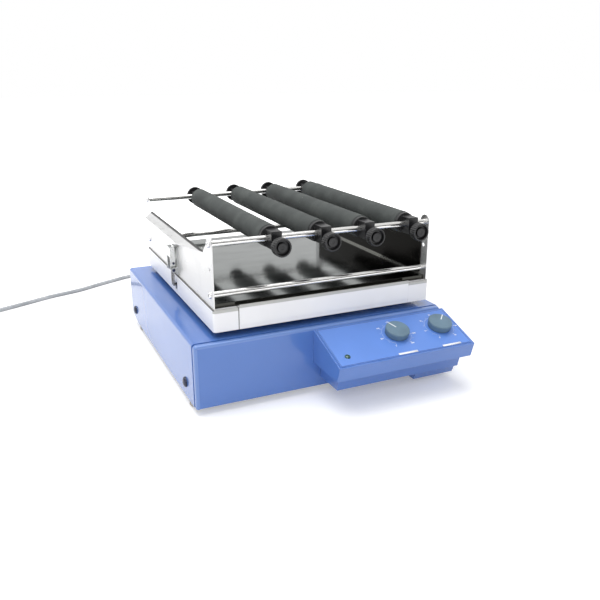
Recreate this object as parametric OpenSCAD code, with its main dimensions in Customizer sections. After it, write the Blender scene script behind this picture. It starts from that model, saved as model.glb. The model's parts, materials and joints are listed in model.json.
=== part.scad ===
// Bench shaker whose table slides left and right, with a clamping attachment on the table.
// Frame: origin under the middle of the object, +X right, +Y back, +Z up, millimetres.

/* [Base] */
// Width of the base housing
base_w = 364; // [350:1:400]
// Depth of the base housing with its front cover
base_d = 384; // [380:1:420]
// Height of the base housing without its feet
base_h = 86; // [84:1:110]
// Sheet thickness of the housing and its panels
sheet = 2; // [1.5:0.1:2.5]
// Rounding of the housing's upper side edges
edge_r = 4; // [3:0.5:8]
// How far the front cover stands out of the housing's sheet
cover_t = 8.5; // [6:0.5:16]
// Bevel round the front cover
cover_bevel = 1.2; // [0.5:0.1:3]
// Dark gap round the front cover, inside the housing's sheet
cover_gap = 1.4; // [0.6:0.1:2]
// Height of the feet
foot_h = 9; // [6:0.5:14]
// Diameter of the feet
foot_d = 20; // [14:1:26]
// Distance from the side of the housing to a foot's axis
foot_inset = 10.5; // [10:0.5:30]
// Distance from the front face to the axis of the front feet
foot_front = 32; // [26:1:44]
// Length of the slanted lower rear corner
corner_l = 40; // [20:1:44]
// Height of the slanted lower rear corner
corner_h = 8; // [4:0.5:12]
// How far the rear panel lies inside the housing
rear_inset = 12; // [8:1:20]
// Diameter of the domed side screws
button_d = 14; // [10:0.5:16]
// Height of the domed side screws
button_h = 4; // [2:0.5:5]

/* [Control box] */
// Reach of the control box in front of the base
panel_reach = 76; // [70:1:90]
// Width of the control box
panel_w = 205; // [190:1:230]
// How far the control box stands out past the base's right side
panel_over = 3; // [0:0.5:6]
// Distance from the housing's top down to the sloped face
panel_drop = 3.5; // [3:0.5:10]
// Fall of the sloped face towards its front edge
panel_fall = 26; // [15:0.5:30]
// Height of the front lip
lip_h = 20.5; // [19:0.5:24]
// Lean of the front lip towards the base
lip_lean = 6; // [2:0.5:8]
// Wall of the control box
panel_wall = 2.5; // [2:0.1:3]
// Height of the second step under the box
step2_h = 22.7; // [18:0.5:24]
// Setback of the second step's front
step2_back = 15; // [10:0.5:20]
// Setback of the second step's left end
step2_side = 11; // [6:0.5:20]
// Width of the lowest step
step3_w = 65; // [40:1:90]
// Setback of the lowest step's front
step3_back = 5.5; // [3:0.5:10]
// Lean of the fronts of both steps
step_lean = 6; // [3:0.5:8]
// Border of the sloped face round the fascia
fascia_in = 3; // [3:0.5:8]
// Thickness of the fascia
fascia_t = 1.2; // [1:0.1:2]

/* [Control knobs] */
// Diameter of a control knob
knob_d = 33; // [26:1:36]
// Height of a control knob
knob_h = 9.5; // [9:0.5:16]
// Distance between the two knob axes
knob_pitch = 68.5; // [50:0.5:75]
// Distance from the right knob's axis to the right end of the box
knob_side = 30; // [26:0.5:36]
// Distance of the knob axes down the slope
knob_down = 36.5; // [32:0.5:46]
// Diameter of the knob shafts
shaft_d = 6; // [5:0.5:8]
// Pointer angle of the speed knob, anticlockwise from the upslope direction
speed_at = 27; // [-150:1:150]
// Pointer angle of the timer knob
timer_at = -43; // [-150:1:150]
// Diameter of the pilot lamp
lamp_d = 7.5; // [5:0.5:10]
// Distance from the lamp to the left end of the box
lamp_side = 20; // [14:0.5:30]
// Distance of the lamp down the slope
lamp_down = 61.5; // [50:0.5:66]

/* [Table] */
// Width of the shaking table
table_w = 318; // [300:1:324]
// Depth of the shaking table
table_d = 357; // [345:1:366]
// Height of the shaking table
table_h = 29; // [25:1:36]
// Gap between the housing and the table
table_gap = 8; // [5:0.5:12]
// Wall of the table
table_wall = 2; // [1.5:0.1:3]
// Rounding of the table's corners
table_r = 4; // [3:0.5:8]
// Distance from the front face to the table's front
table_front = 12.5; // [6:0.5:16]
// Full stroke of the table
stroke = 20; // [10:1:24]
// Place of the table right of its middle position
table_at = 8; // [0:0.5:9]
// Width of the raised middle flange at the table's front and back
flange_w = 250; // [200:1:270]
// How far the flange stands in front of the table
flange_proud = 1.5; // [1:0.1:3]
// How far the flange stands above the table
flange_rise = 3.5; // [2:0.1:4.5]

/* [Attachment] */
// Distance from the table's sides in to the side plates
holder_in = 2; // [0.5:0.5:6]
// Thickness of the side plates
plate_t = 1.5; // [1.2:0.1:2.5]
// Height of the side plates between their ears
plate_h = 67; // [60:1:72]
// Radius of the ears that hold the rods
ear_r = 10; // [9:0.5:12]
// Distance from a rod's axis to the foot of its ear
ear_foot = 26; // [20:1:40]
// Diameter of the rods
rod_d = 8; // [6:0.5:10]
// Height of the upper rods above the table
rod_up = 82; // [80:1:95]
// Height of the lower rods above the table
rod_low = 17; // [14:0.5:24]
// Height of the spare holes above the table
spare_up = 49; // [36:1:56]
// Distance from the table's front and back to the rods
rod_in = 12.5; // [11.5:0.5:18]
// Diameter of the screws in the rod ends
screw_d = 5; // [4:0.5:5]
// Width of the lip folded outwards along each side plate
lip_w = 16; // [8:0.5:20]
// Downward tilt of the folded lip
lip_tilt = 17; // [0:1:30]
// Height of the pan's floor above the table
floor_up = 5; // [4.8:0.1:7]
// Sheet thickness of the pan
pan_t = 1.2; // [0.8:0.1:2]

/* [Rollers] */
// Places of the rollers right of the attachment's middle
roller_at = [-74, -5, 59, 127];
// Outer diameter of the rubber sleeves
roller_d = 30; // [26:0.5:31]
// Diameter of the roller cores
core_d = 22; // [18:0.5:23]
// Diameter of the end caps
cap_d = 28; // [25:0.5:30]
// Width of the clamp blocks
clamp_w = 14.5; // [13:0.5:18]
// Diameter of the clamp knobs
grip_d = 24; // [20:0.5:28]
// Thickness of the clamp knobs
grip_t = 11; // [9:0.5:14]
// Distance of the clamp knobs' axes below the rods
grip_low = 6; // [5:0.5:7]
// Diameter of the clamp screws
grip_screw_d = 6; // [5:0.5:6]

/* [Latches] */
// Width of a latch lever
lever_w = 18; // [16:0.5:24]
// Length of a latch lever above its pivot
lever_l = 36; // [28:0.5:38]
// Height of the lever pivots above the table
pivot_up = 10; // [9:0.5:12]
// Distance from a lever's pivot to its bail
bail_r = 9; // [8:0.5:10]
// Diameter of the bail wire
bail_d = 2.4; // [2:0.1:3]
// Distance of the latches behind the middle of the table's depth
latch_back = 0; // [-20:1:20]

/* [Drive] */
// Distance between the connecting rod's eyes
conrod_l = 70; // [60:1:80]
// Pitch diameter of the crank pulley
crank_pulley_d = 80; // [60:1:84]
// Pitch diameter of the motor pulley
motor_pulley_d = 20; // [16:1:24]
// Diameter of the motor
motor_d = 58; // [50:1:62]
// Diameter of the crank shaft
crank_d = 10; // [8:0.5:12]
// Diameter of the eccentric pin
pin_d = 8; // [6:0.5:9]
// Diameter of the guide rods
guide_d = 12; // [10:0.5:14]
// Distance between the guide rods
guide_pitch = 170; // [160:1:180]
// Diameter of the table posts
post_d = 14; // [10:0.5:16]

/* [Cord] */
// Diameter of the mains cord
cord_d = 7; // [6:0.1:7.2]
// Length of the strain relief behind the rear panel
relief_l = 32; // [26:1:38]

/* [Hidden] */
$fn = 48;
hull_fn = 32;
// Clearances: a running shaft, a close seat, a loose seat, and between moving pieces
run = 0.05;
fit = 0.1;
seat = 0.25;
air = 0.5;

y_lip = -(base_d + panel_reach) / 2;
y_front = y_lip + panel_reach;
y_back = y_front + base_d;
y_seam = y_front + cover_t;
y_rear = y_back - rear_inset;
x_side = base_w / 2;
z_base = foot_h;
z_floor = z_base + sheet;
z_top = z_base + base_h;
z_ceiling = z_top - sheet;
y_bend = y_back - corner_l;
inner_r = max(edge_r - sheet, 0.5);
spigot_in = 2.5;
spigot_l = 6;
spigot_up = 6;
shank_d = 4;
button_rim = 0.8;
corner_rise = (y_rear - sheet - y_bend) * corner_h / corner_l;

// Control box profile, and the frame of its sloped face
panel_right = x_side + panel_over;
panel_left = panel_right - panel_w;
steps_right = x_side - 1;
z_slope = z_top - panel_drop;
slope_a = atan2(panel_fall, panel_reach);
slope_l = norm([panel_fall, panel_reach]);
z_lip = z_slope - panel_fall;
z_under1 = z_lip - lip_h;
z_under2 = z_under1 - step2_h;
y_under1 = y_lip + lip_lean;
y_step2 = y_under1 + step2_back;
y_under2 = y_step2 + step_lean;
y_step3 = y_under2 + step3_back;
y_under3 = y_step3 + step_lean;
speed_x = panel_right - knob_side - knob_pitch;
timer_x = panel_right - knob_side;
lamp_x = panel_left + lamp_side;
fascia_sink = 0.7;
fascia_top = fascia_t - fascia_sink;
pot_d = 17;
pot_h = 11;
bush_d = shaft_d + 4;
board_t = 1.6;
board_h = -panel_wall - pot_h;
knob_seat = fascia_top + air;
knob_bore = 7.5;
stand_d = 6;

// Table and attachment
y_tf = y_front + table_front;
y_tb = y_tf + table_d;
y_mid = (y_tf + y_tb) / 2;
z_t0 = z_top + table_gap;
z_t1 = z_t0 + table_h;
table_top = 3;
table_inner_r = max(table_r - table_wall, 0.5);
z_under = z_t1 - table_top;
y_rod1 = y_tf + rod_in;
y_rod2 = y_tb - rod_in;
z_rod = z_t1 + rod_up;
z_low = z_t1 + rod_low;
z_spare = z_t1 + spare_up;
z_edge = z_t1 + plate_h;
z_pan = z_t1 + floor_up;
x_outer = table_w / 2 - holder_in;
x_inner = x_outer - plate_t;
head_d = 9;
head_h = 3;
tap_l = 13;
lip_taper = 70;
pan_end = 5;

// Rollers and their clamps
cap_t = 6;
sleeve_end = 19;
block_reach = 15;
grip_gap = 9;
grip_hole = 13;
rod_air = rod_d / 2 + 1;
y_cap = y_rod1 + rod_air;
y_sleeve1 = y_cap + cap_t;
y_sleeve2 = y_rod2 - sleeve_end;
y_block = y_rod1 - block_reach;
y_grip = y_block - grip_gap;
z_grip = z_rod - grip_low;
block_up = 10.5;
block_down = 12;
rear_disc_t = 5;

// Latches: distances outwards from the plate, heights and places along Y
y_latch = y_mid + latch_back;
z_pivot = z_t1 + pivot_up;
z_bail = z_pivot + bail_r;
pivot_out = 7;
bail_in = 1;
bail_out = pivot_out - bail_in;
pivot_d = 3;
lever_t = 1.2;
wire_y = lever_w / 2 - 4;
hook_y = 3;
z_slot0 = z_t0 + 6;
z_slot1 = z_t1 - 11;
z_hook = z_slot1 - bail_d / 2 - 3;
slot_w = 2 * hook_y + bail_d + 4;
hook_reach = 3;
hook_in = holder_in - table_wall - hook_reach;
tip_out = 4;
ear_gap = 3;
base_ear_t = 1.5;
knuckle_d = bail_d + 0.08;

// Drive, from the bottom plate upwards
crank_r = stroke / 2;
pin_y = sqrt(crank_r * crank_r - table_at * table_at);
wrist_in = 30;
wrist_x = table_at + wrist_in;
crank_x = wrist_x - table_at - sqrt(conrod_l * conrod_l - pin_y * pin_y);
crank_y = y_mid;
motor_x = crank_x - 20;
motor_y = y_front + motor_d / 2 + 15;
pulley_w = 12;
flange_t = 1.5;
flange_up = 3.2;
z_pulley = z_floor + 5;
belt_t = 2;
belt_gap = 0.3;
z_bridge = z_pulley + pulley_w + 4;
bridge_t = 4;
bearing_d = crank_d + 16;
bearing_w = 8;
hub_h = 2 * bearing_w + 4;
z_disc = z_bridge + bridge_t + hub_h + air;
disc_t = 5.5;
z_conrod = z_disc + disc_t + 0.3;
conrod_t = 8;
z_wrist = z_conrod + conrod_t + air;
z_carriage = z_wrist + 5;
carriage_t = 6;
z_post = z_carriage + carriage_t;
bush_l = 30;
bush_od = guide_d + 9;
bush_block = bush_od + 9;
z_guide = z_carriage - bush_block / 2;
guide_y = guide_pitch / 2;
bush_x = 75;
guide_end = bush_x + bush_l / 2 + stroke + 28;
guide_block_w = 16;
post_x = 90;
post_y = 60;
slot_air = 2;
window_x = 62;
window_w = 30;
window_l = 80;
window_r = 6;
z_motor = z_bridge + bridge_t;
motor_h = z_ceiling - 4 - z_motor;

// Rear panel fittings
switch_x = -70;
switch_z = (z_floor + z_ceiling) / 2;
rocker_w = 18;
rocker_h = 24;
rocker_tilt = 9;
rocker_pin_d = 3;
relief_x = 60;
relief_z = 30;
relief_d = 13;

// The cord's route on the surface, from the strain relief to the coil
cord_route = [
    [60, 250, 30], [60, 290, 21], [58, 335, 8], [50, 385, 3.5], [32, 432, 3.5], [0, 471, 3.5],
    [-42, 496, 3.5], [-88, 503, 3.5], [-133, 495, 3.5], [-200, 463, 3.5], [-247, 437.5, 3.5],
    [-302, 418.5, 3.5], [-346, 397, 3.5], [-392, 374.5, 4], [-436, 353, 4.8]
];
cord_sides = 8;
cord_steps = 4;
coil_heading = 206;
coil_r = 47;
coil_turns = 2;
coil_pitch = 9;
coil_layer = 8;
coil_rings = 24;
coil_sides = 6;
tie_t = 1;
tie_w = 12;
tail_l = 15;
plug_l = 36;
plug_w = 34;
pin_l = 19;
pin_pitch = 19;

blue = [0.22, 0.37, 0.72];
deep_blue = [0.18, 0.31, 0.62];
steel = [0.78, 0.79, 0.80];
pale = [0.90, 0.90, 0.91];
black = [0.10, 0.10, 0.11];
sleeve_grey = [0.24, 0.25, 0.25];
knob_grey = [0.42, 0.50, 0.52];
alloy = [0.68, 0.69, 0.71];
board_green = [0.10, 0.35, 0.22];
cord_grey = [0.52, 0.53, 0.54];

// Extrusions along X and Y of an outline drawn in (Y, Z) or (X, Z)
module along_x(x0, x1) {
    translate([x0, 0, 0]) rotate([90, 0, 90]) linear_extrude(x1 - x0) children();
}
module along_y(y0, y1) {
    translate([0, y1, 0]) rotate([90, 0, 0]) linear_extrude(y1 - y0) children();
}
module box(low, high) {
    translate(low) cube(high - low);
}
// Cylinders along X and Y from a start point
module rod_x(p, d, l) {
    translate(p) rotate([0, 90, 0]) cylinder(d = d, h = l);
}
module rod_y(p, d, l) {
    translate(p) rotate([-90, 0, 0]) cylinder(d = d, h = l);
}
module round_rect(w, l, r) {
    square([w - 2 * r, l], center = true);
    square([w, l - 2 * r], center = true);
    for (x = [-1, 1], y = [-1, 1]) translate([x * (w / 2 - r), y * (l / 2 - r)]) circle(r);
}
// Slot along X with round ends
module slot(l, w) {
    square([l - w, w], center = true);
    for (x = [-1, 1]) translate([x * (l - w) / 2, 0]) circle(d = w);
}
// Upright outline with round upper corners
module arch(half_w, z0, z1, r) {
    translate([-half_w, z0]) square([2 * half_w, z1 - r - z0]);
    translate([r - half_w, z0]) square([2 * (half_w - r), z1 - z0]);
    for (x = [-1, 1]) translate([x * (half_w - r), z1 - r]) circle(r);
}
// Convex outline moved inwards by d; its points run clockwise
function unit(v) = v / norm(v);
function inward(a, b) = let (v = unit(b - a)) [v[1], -v[0]];
function crossing(p, u, q, v) = p + u * ((q - p) * [v[1], -v[0]]) / (u * [v[1], -v[0]]);
function inset(pts, d) = let (n = len(pts)) [
    for (i = [0:n - 1])
        let (a = pts[(i + n - 1) % n], b = pts[i], c = pts[(i + 1) % n])
        crossing(b + d * inward(a, b), b - a, b + d * inward(b, c), c - b)
];
// Frame of the sloped face: x to the right, s down the slope, h outwards
module on_slope(x, s, h) {
    translate([0, y_front, z_slope]) rotate([slope_a, 0, 0]) translate([x, -s, h]) children();
}
// Frames of the attachment: its own middle, and the two mirrored sides
module on_table() {
    translate([table_at, 0, 0]) children();
}
module on_side(side) {
    translate([table_at, 0, 0]) mirror([side > 0 ? 1 : 0, 0, 0]) children();
}

module base_housing() {
    color(blue) difference() {
        along_y(y_seam, y_back) arch(x_side, z_base, z_top, edge_r);
        along_y(y_seam - 1, y_back + 1) translate([0, -1])
            arch(x_side - sheet, z_base, z_ceiling + 1, inner_r);
        along_x(-x_side - 1, x_side + 1) polygon([
            [y_bend, z_base - 1], [y_bend, z_base], [y_back, z_base + corner_h],
            [y_back + 1, z_base + corner_h], [y_back + 1, z_base - 1]
        ]);
        post_places() translate([0, 0, z_ceiling - 1]) linear_extrude(sheet + 2)
            slot(post_d + stroke + 2 * slot_air, post_d + 2 * slot_air);
        screw_places() rod_x([-1, 0, 0], shank_d + 2 * seat, sheet + 2);
    }
}
// The four table posts at mid stroke
module post_places() {
    for (x = [-post_x, post_x], y = [-post_y, post_y]) translate([x, y_mid + y, 0]) children();
}
// The four side screws, each drawn inwards from the outside of its wall
module screw_places() {
    for (side = [-1, 1], y = [y_front + 45, y_rear - 18])
        mirror([side > 0 ? 1 : 0, 0, 0]) translate([-x_side, y, z_base + 20]) children();
}
module case_screws() {
    dome = [for (a = [0:15:90])
        [button_d / 2 * cos(a), button_rim + (button_h - button_rim) * sin(a)]];
    color(black) screw_places() {
        rotate([0, -90, 0]) rotate_extrude() polygon(concat([[0, 0], [button_d / 2, 0]], dome));
        rod_x([-0.2, 0, 0], shank_d, sheet + 9);
    }
}
// Hollow cover with a spigot inside the housing's sides and top
module front_cover() {
    y_end = y_seam + spigot_l;
    color(blue) difference() {
        union() {
            hull() {
                along_y(y_front + cover_bevel, y_seam) cover_face(0);
                along_y(y_front, y_front + 0.2) cover_face(cover_bevel);
            }
            along_y(y_seam - 0.2, y_end) rim(cover_gap);
            along_y(y_seam + spigot_in, y_end) rim(seat);
        }
        along_y(y_front + sheet, y_end + 1) rim(cover_gap + sheet);
        box([-x_side, y_seam, z_base], [x_side, y_end + 1, z_floor + spigot_up]);
    }
}
module cover_face(inset) {
    edge = sheet + cover_gap + inset;
    arch(x_side - edge, z_base + inset / 4, z_top - edge, edge_r, $fn = hull_fn);
}
// Inside of the housing's section, drawn in by gap
module rim(gap) {
    arch(x_side - sheet - gap, z_floor + gap, z_ceiling - gap, inner_r);
}
module rear_panel() {
    color(blue) difference() {
        along_y(y_rear - sheet, y_rear)
            arch(x_side - sheet - fit, z_base + corner_rise, z_ceiling - fit, inner_r - fit);
        box([switch_x - rocker_w / 2 - 2, y_rear - sheet - 1, switch_z - rocker_h / 2 - 2],
            [switch_x + rocker_w / 2 + 2, y_rear + 1, switch_z + rocker_h / 2 + 2]);
        rod_y([relief_x, y_rear - sheet - 1, relief_z], relief_d + 0.2, sheet + 2);
    }
}
module bottom_plate() {
    color(steel) {
        along_x(sheet - x_side, x_side - sheet) polygon([
            [y_seam, z_base], [y_seam, z_floor], [y_bend, z_floor],
            [y_rear - sheet, z_floor + corner_rise], [y_rear - sheet, z_base + corner_rise],
            [y_bend, z_base]
        ]);
        screw_places() difference() {
            box([sheet, -12, z_floor - z_base - 20 - 0.2], [2 * sheet, 12, 10]);
            rod_x([0, 0, 0], shank_d + 2 * fit, 3 * sheet);
        }
    }
}
module feet() {
    color([0.45, 0.44, 0.42])
    for (x = [-1, 1], y = [y_front + foot_front, y_bend - foot_d / 2 - 2])
        translate([x * (x_side - foot_inset), y, 0]) rotate_extrude()
            polygon([[0, 0], [foot_d / 2 - 2, 0], [foot_d / 2, 2], [foot_d / 2 - 1, foot_h], [0, foot_h]]);
}

// The three stacked steps of the control box, as outlines in (Y, Z) with a movable back edge
function step1(y) = [
    [y_lip, z_lip], [y, z_lip + (y - y_lip) * tan(slope_a)], [y, z_under1], [y_under1, z_under1]
];
function step2(y) = [[y_step2, z_under1 + 1], [y, z_under1 + 1], [y, z_under2], [y_under2, z_under2]];
function step3(y) = [[y_step3, z_under2 + 1], [y, z_under2 + 1], [y, z_base], [y_under3, z_base]];
module control_housing() {
    step2_left = panel_left + step2_side;
    step3_left = steps_right - step3_w;
    y_open = y_front + panel_wall + 1;
    x_pocket = panel_right - panel_wall;
    x_steps = steps_right - panel_wall;
    x_cover = x_side - sheet - cover_gap - panel_wall;
    color(blue) {
        difference() {
            union() {
                along_x(panel_left, panel_right) polygon(step1(y_front));
                along_x(step2_left, steps_right) polygon(step2(y_front));
                along_x(step3_left, steps_right) polygon(step3(y_front));
            }
            along_x(panel_left + panel_wall, x_cover) polygon(inset(step1(y_open), panel_wall));
            along_x(x_cover - 1, x_pocket) polygon(inset(step1(y_front), panel_wall));
            along_x(step2_left + panel_wall, x_cover) polygon(inset(step2(y_open), panel_wall));
            along_x(x_cover - 1, x_steps) polygon(inset(step2(y_front), panel_wall));
            along_x(step3_left + panel_wall, x_cover) polygon(inset(step3(y_open), panel_wall));
            along_x(x_cover - 1, x_steps) polygon(inset(step3(y_front), panel_wall));
            on_slope(0, 0, 0) fascia_block(fascia_in - seat, -fascia_sink, 1);
            for (x = [speed_x, timer_x])
                on_slope(x, knob_down, -panel_wall - 1) cylinder(d = bush_d + 2 * fit, h = panel_wall + 3);
            on_slope(lamp_x, lamp_down, -panel_wall - 1) cylinder(d = lamp_d + 2 * fit, h = panel_wall + 3);
        }
        stand_places() translate([0, 0, board_h]) cylinder(d = stand_d, h = -board_h - panel_wall + 0.2);
    }
}
module fascia_block(border, h0, h1) {
    box([panel_left + border, border - slope_l, h0], [panel_right - border, -border, h1]);
}
// The four stand-offs that carry the control board
module stand_places() {
    for (x = [panel_left + 12, panel_right - 15], s = [12, slope_l - 18]) on_slope(x, s, 0) children();
}
module control_fascia() {
    color(deep_blue) difference() {
        on_slope(0, 0, 0) fascia_block(fascia_in, -fascia_sink, fascia_top);
        for (x = [speed_x, timer_x])
            on_slope(x, knob_down, -1) cylinder(d = bush_d + 2 * fit, h = fascia_t + 2);
        on_slope(lamp_x, lamp_down, -1) cylinder(d = lamp_d + 2 * fit, h = fascia_t + 2);
    }
}
module control_knob(x, pointer) {
    r = knob_d / 2;
    color(knob_grey) on_slope(x, knob_down, knob_seat) rotate([0, 0, pointer]) difference() {
        rotate_extrude() polygon([
            [0, 0], [r - 1.2, 0], [r - 0.6, 0.8], [r, knob_h - 1.4], [r - 1.2, knob_h], [0, knob_h]
        ]);
        translate([0, 0, -1]) cylinder(d = shaft_d + 2 * run, h = knob_bore + 1);
        translate([-0.9, 1.5, knob_h - 0.5]) cube([1.8, r - 2.5, 1]);
    }
}
module knob_shaft(x) {
    color(steel) on_slope(x, knob_down, board_h + 2)
        cylinder(d = shaft_d, h = knob_seat + knob_bore - board_h - 2 - 0.1);
}
module speed_knob() { control_knob(speed_x, speed_at); }
module timer_knob() { control_knob(timer_x, timer_at); }
module speed_shaft() { knob_shaft(speed_x); }
module timer_shaft() { knob_shaft(timer_x); }
module potentiometers() {
    color(alloy) for (x = [speed_x, timer_x]) on_slope(x, knob_down, board_h) difference() {
        union() {
            cylinder(d = pot_d, h = pot_h);
            cylinder(d = bush_d, h = fascia_top - board_h);
        }
        translate([0, 0, 1.5]) cylinder(d = shaft_d + 2 * run, h = fascia_top - board_h);
    }
}
module pilot_lamp() {
    color([0.05, 0.30, 0.16]) on_slope(lamp_x, lamp_down, 0) {
        translate([0, 0, -panel_wall]) rotate_extrude() polygon([
            [0, 0], [lamp_d / 2, 0], [lamp_d / 2, panel_wall + fascia_top + 0.4],
            [lamp_d / 2 - 0.8, panel_wall + fascia_top + 1.2], [0, panel_wall + fascia_top + 1.6]
        ]);
        translate([0, 0, board_h]) cylinder(d = 5, h = -board_h - panel_wall + 0.2);
    }
}
module control_board() {
    color(board_green) on_slope(0, 0, 0)
        box([panel_left + 8, 14 - slope_l, board_h - board_t], [panel_right - 11, -8, board_h]);
}
module power_board() {
    z = z_floor + 10;
    x0 = motor_x + motor_d / 2 + 40;
    x1 = x_side - 24;
    y0 = y_seam + 6;
    y1 = y0 + 46;
    color(board_green) {
        box([x0, y0, z], [x1, y1, z + board_t]);
        for (x = [x0 + 5, x1 - 5], y = [y0 + 5, y1 - 5]) translate([x, y, z_floor]) cylinder(d = 7, h = 10.2);
    }
    color(black) {
        box([x0 + 8, y0 + 6, z + board_t - 0.2], [x0 + 44, y0 + 38, z + 30]);
        for (i = [0:2]) translate([x1 - 14 - 18 * i, y0 + 16, z + board_t - 0.2]) cylinder(d = 12, h = 22);
    }
}
// Rear rocker switch: the frame fills the panel's cut-out and the rocker turns in it
module switch_frame() {
    color(black) difference() {
        union() {
            box([switch_x - rocker_w / 2 - 1.8, y_rear - 18, switch_z - rocker_h / 2 - 1.8],
                [switch_x + rocker_w / 2 + 1.8, y_rear, switch_z + rocker_h / 2 + 1.8]);
            box([switch_x - rocker_w / 2 - 4, y_rear, switch_z - rocker_h / 2 - 4],
                [switch_x + rocker_w / 2 + 4, y_rear + 2, switch_z + rocker_h / 2 + 4]);
        }
        box([switch_x - rocker_w / 2, y_rear - 14, switch_z - rocker_h / 2],
            [switch_x + rocker_w / 2, y_rear + 3, switch_z + rocker_h / 2]);
    }
    color(steel) rod_x([switch_x - rocker_w / 2 - 1, y_rear - 5, switch_z], rocker_pin_d, rocker_w + 2);
}
module power_switch() {
    half = rocker_h / 2 - 1.2;
    color(black) translate([switch_x, y_rear - 5, switch_z]) rotate([rocker_tilt, 0, 0])
        difference() {
            along_x(0.3 - rocker_w / 2, rocker_w / 2 - 0.3) polygon([
                [-5, -4], [-5, 4], [2, half], [7.5, half - 0.6], [4.6, 0], [7.5, 0.6 - half], [2, -half]
            ]);
            rod_x([-rocker_w, 0, 0], rocker_pin_d + 2 * run, 2 * rocker_w);
        }
}

module shaking_table() {
    slot = [table_wall + 4, slot_w, z_slot1 - z_slot0];
    color(pale) on_table() {
        difference() {
            translate([0, y_mid, z_t0]) linear_extrude(table_h) round_rect(table_w, table_d, table_r);
            translate([0, y_mid, z_t0 - 1]) linear_extrude(z_under - z_t0 + 1)
                round_rect(table_w - 2 * table_wall, table_d - 2 * table_wall, table_inner_r);
            for (side = [-1, 1])
                translate([side * table_w / 2, y_latch, (z_slot0 + z_slot1) / 2]) cube(slot, center = true);
        }
        for (y = [y_tf - flange_proud, y_tb - 0.5])
            box([-flange_w / 2, y, z_t0 + 6], [flange_w / 2, y + flange_proud + 0.5, z_t1 + flange_rise]);
    }
}
module table_posts() {
    color(steel) on_table() post_places()
        translate([0, 0, z_post]) cylinder(d = post_d, h = z_under - z_post);
}
module carriage() {
    w = 2 * post_x + post_d + 6;
    l = guide_pitch + bush_block;
    color(alloy) on_table() {
        translate([0, y_mid, z_carriage]) linear_extrude(carriage_t) difference() {
            round_rect(w, l, 8);
            for (x = [-1, 1]) translate([x * window_x, 0]) round_rect(window_w, window_l, window_r);
        }
        translate([wrist_in, y_mid, z_wrist]) cylinder(d = pin_d, h = z_carriage - z_wrist + 0.2);
        bush_places() difference() {
            translate([-bush_l / 2 - 2, -bush_block / 2, -bush_block / 2])
                cube([bush_l + 4, bush_block, bush_block + 0.2]);
            rod_x([-bush_l, 0, 0], bush_od + 2 * run, 2 * bush_l);
        }
    }
}
module bush_places() {
    for (x = [-bush_x, bush_x], y = [-guide_y, guide_y]) translate([x, y_mid + y, z_guide]) children();
}
module linear_bushes() {
    color(steel) on_table() bush_places() difference() {
        rod_x([-bush_l / 2, 0, 0], bush_od, bush_l);
        rod_x([-bush_l, 0, 0], guide_d + 2 * run, 2 * bush_l);
    }
}
module guide_rods() {
    color(steel) for (y = [-guide_y, guide_y])
        rod_x([-guide_end, y_mid + y, z_guide], guide_d, 2 * guide_end);
}
module guide_blocks() {
    color(alloy) for (x = [-1, 1], y = [-guide_y, guide_y])
        translate([x * (guide_end - guide_block_w / 2), y_mid + y, 0]) difference() {
            box([-guide_block_w / 2, -guide_d - 3, z_floor],
                [guide_block_w / 2, guide_d + 3, z_guide + guide_d]);
            rod_x([-guide_block_w, 0, z_guide], guide_d + 2 * run, 2 * guide_block_w);
        }
}

// Flanged pulley with its groove at the pitch radius
module pulley(d, bore) {
    r = d / 2;
    rotate_extrude() polygon([
        [bore / 2, 0], [r + flange_up, 0], [r + flange_up, flange_t], [r, flange_t + 0.3],
        [r, pulley_w - flange_t - 0.3], [r + flange_up, pulley_w - flange_t],
        [r + flange_up, pulley_w], [bore / 2, pulley_w]
    ]);
}
module crank_pulley() {
    color(alloy) translate([crank_x, crank_y, z_pulley]) pulley(crank_pulley_d, crank_d + 2 * run);
}
module crank_shaft() {
    color(steel) translate([crank_x, crank_y, 0]) {
        translate([0, 0, z_pulley - 2]) cylinder(d = crank_d, h = z_disc - z_pulley + 2.2);
        translate([0, 0, z_disc]) cylinder(r = crank_r + pin_d / 2 + 3, h = disc_t);
        translate([table_at, pin_y, z_disc + disc_t - 0.2]) cylinder(d = pin_d, h = conrod_t + 0.5);
    }
}
module crank_bearings() {
    color(steel) for (z = [0, bearing_w + 2])
        translate([crank_x, crank_y, z_bridge + bridge_t + 1 + z]) difference() {
            cylinder(d = bearing_d, h = bearing_w);
            translate([0, 0, -1]) cylinder(d = crank_d + 2 * run, h = bearing_w + 2);
        }
}
module bearing_bridge() {
    reach = crank_pulley_d / 2 + flange_up + 4;
    hub = bearing_d + 10;
    color(alloy) translate([crank_x, crank_y, 0]) difference() {
        union() {
            box([-reach - 8, -25, z_bridge], [reach + 8, 25, z_bridge + bridge_t]);
            for (x = [-reach - 8, reach]) box([x, -25, z_floor], [x + 8, 25, z_bridge + 0.2]);
            translate([0, 0, z_bridge]) cylinder(d = hub, h = bridge_t + hub_h);
        }
        translate([0, 0, z_bridge - 1]) cylinder(d = crank_d + 4, h = bridge_t + 3);
        translate([0, 0, z_bridge + bridge_t + 1]) cylinder(d = bearing_d + 2 * run, h = hub_h);
    }
}
module connecting_rod() {
    eye = pin_d + 10;
    turn = -asin(pin_y / conrod_l);
    color(alloy) translate([crank_x + table_at, crank_y + pin_y, z_conrod]) rotate(turn) difference() {
        linear_extrude(conrod_t) {
            circle(d = eye);
            translate([conrod_l, 0]) circle(d = eye);
            translate([0, -eye / 4]) square([conrod_l, eye / 2]);
        }
        for (x = [0, conrod_l]) translate([x, 0, -1]) cylinder(d = pin_d + 2 * run, h = conrod_t + 2);
    }
}
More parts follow.
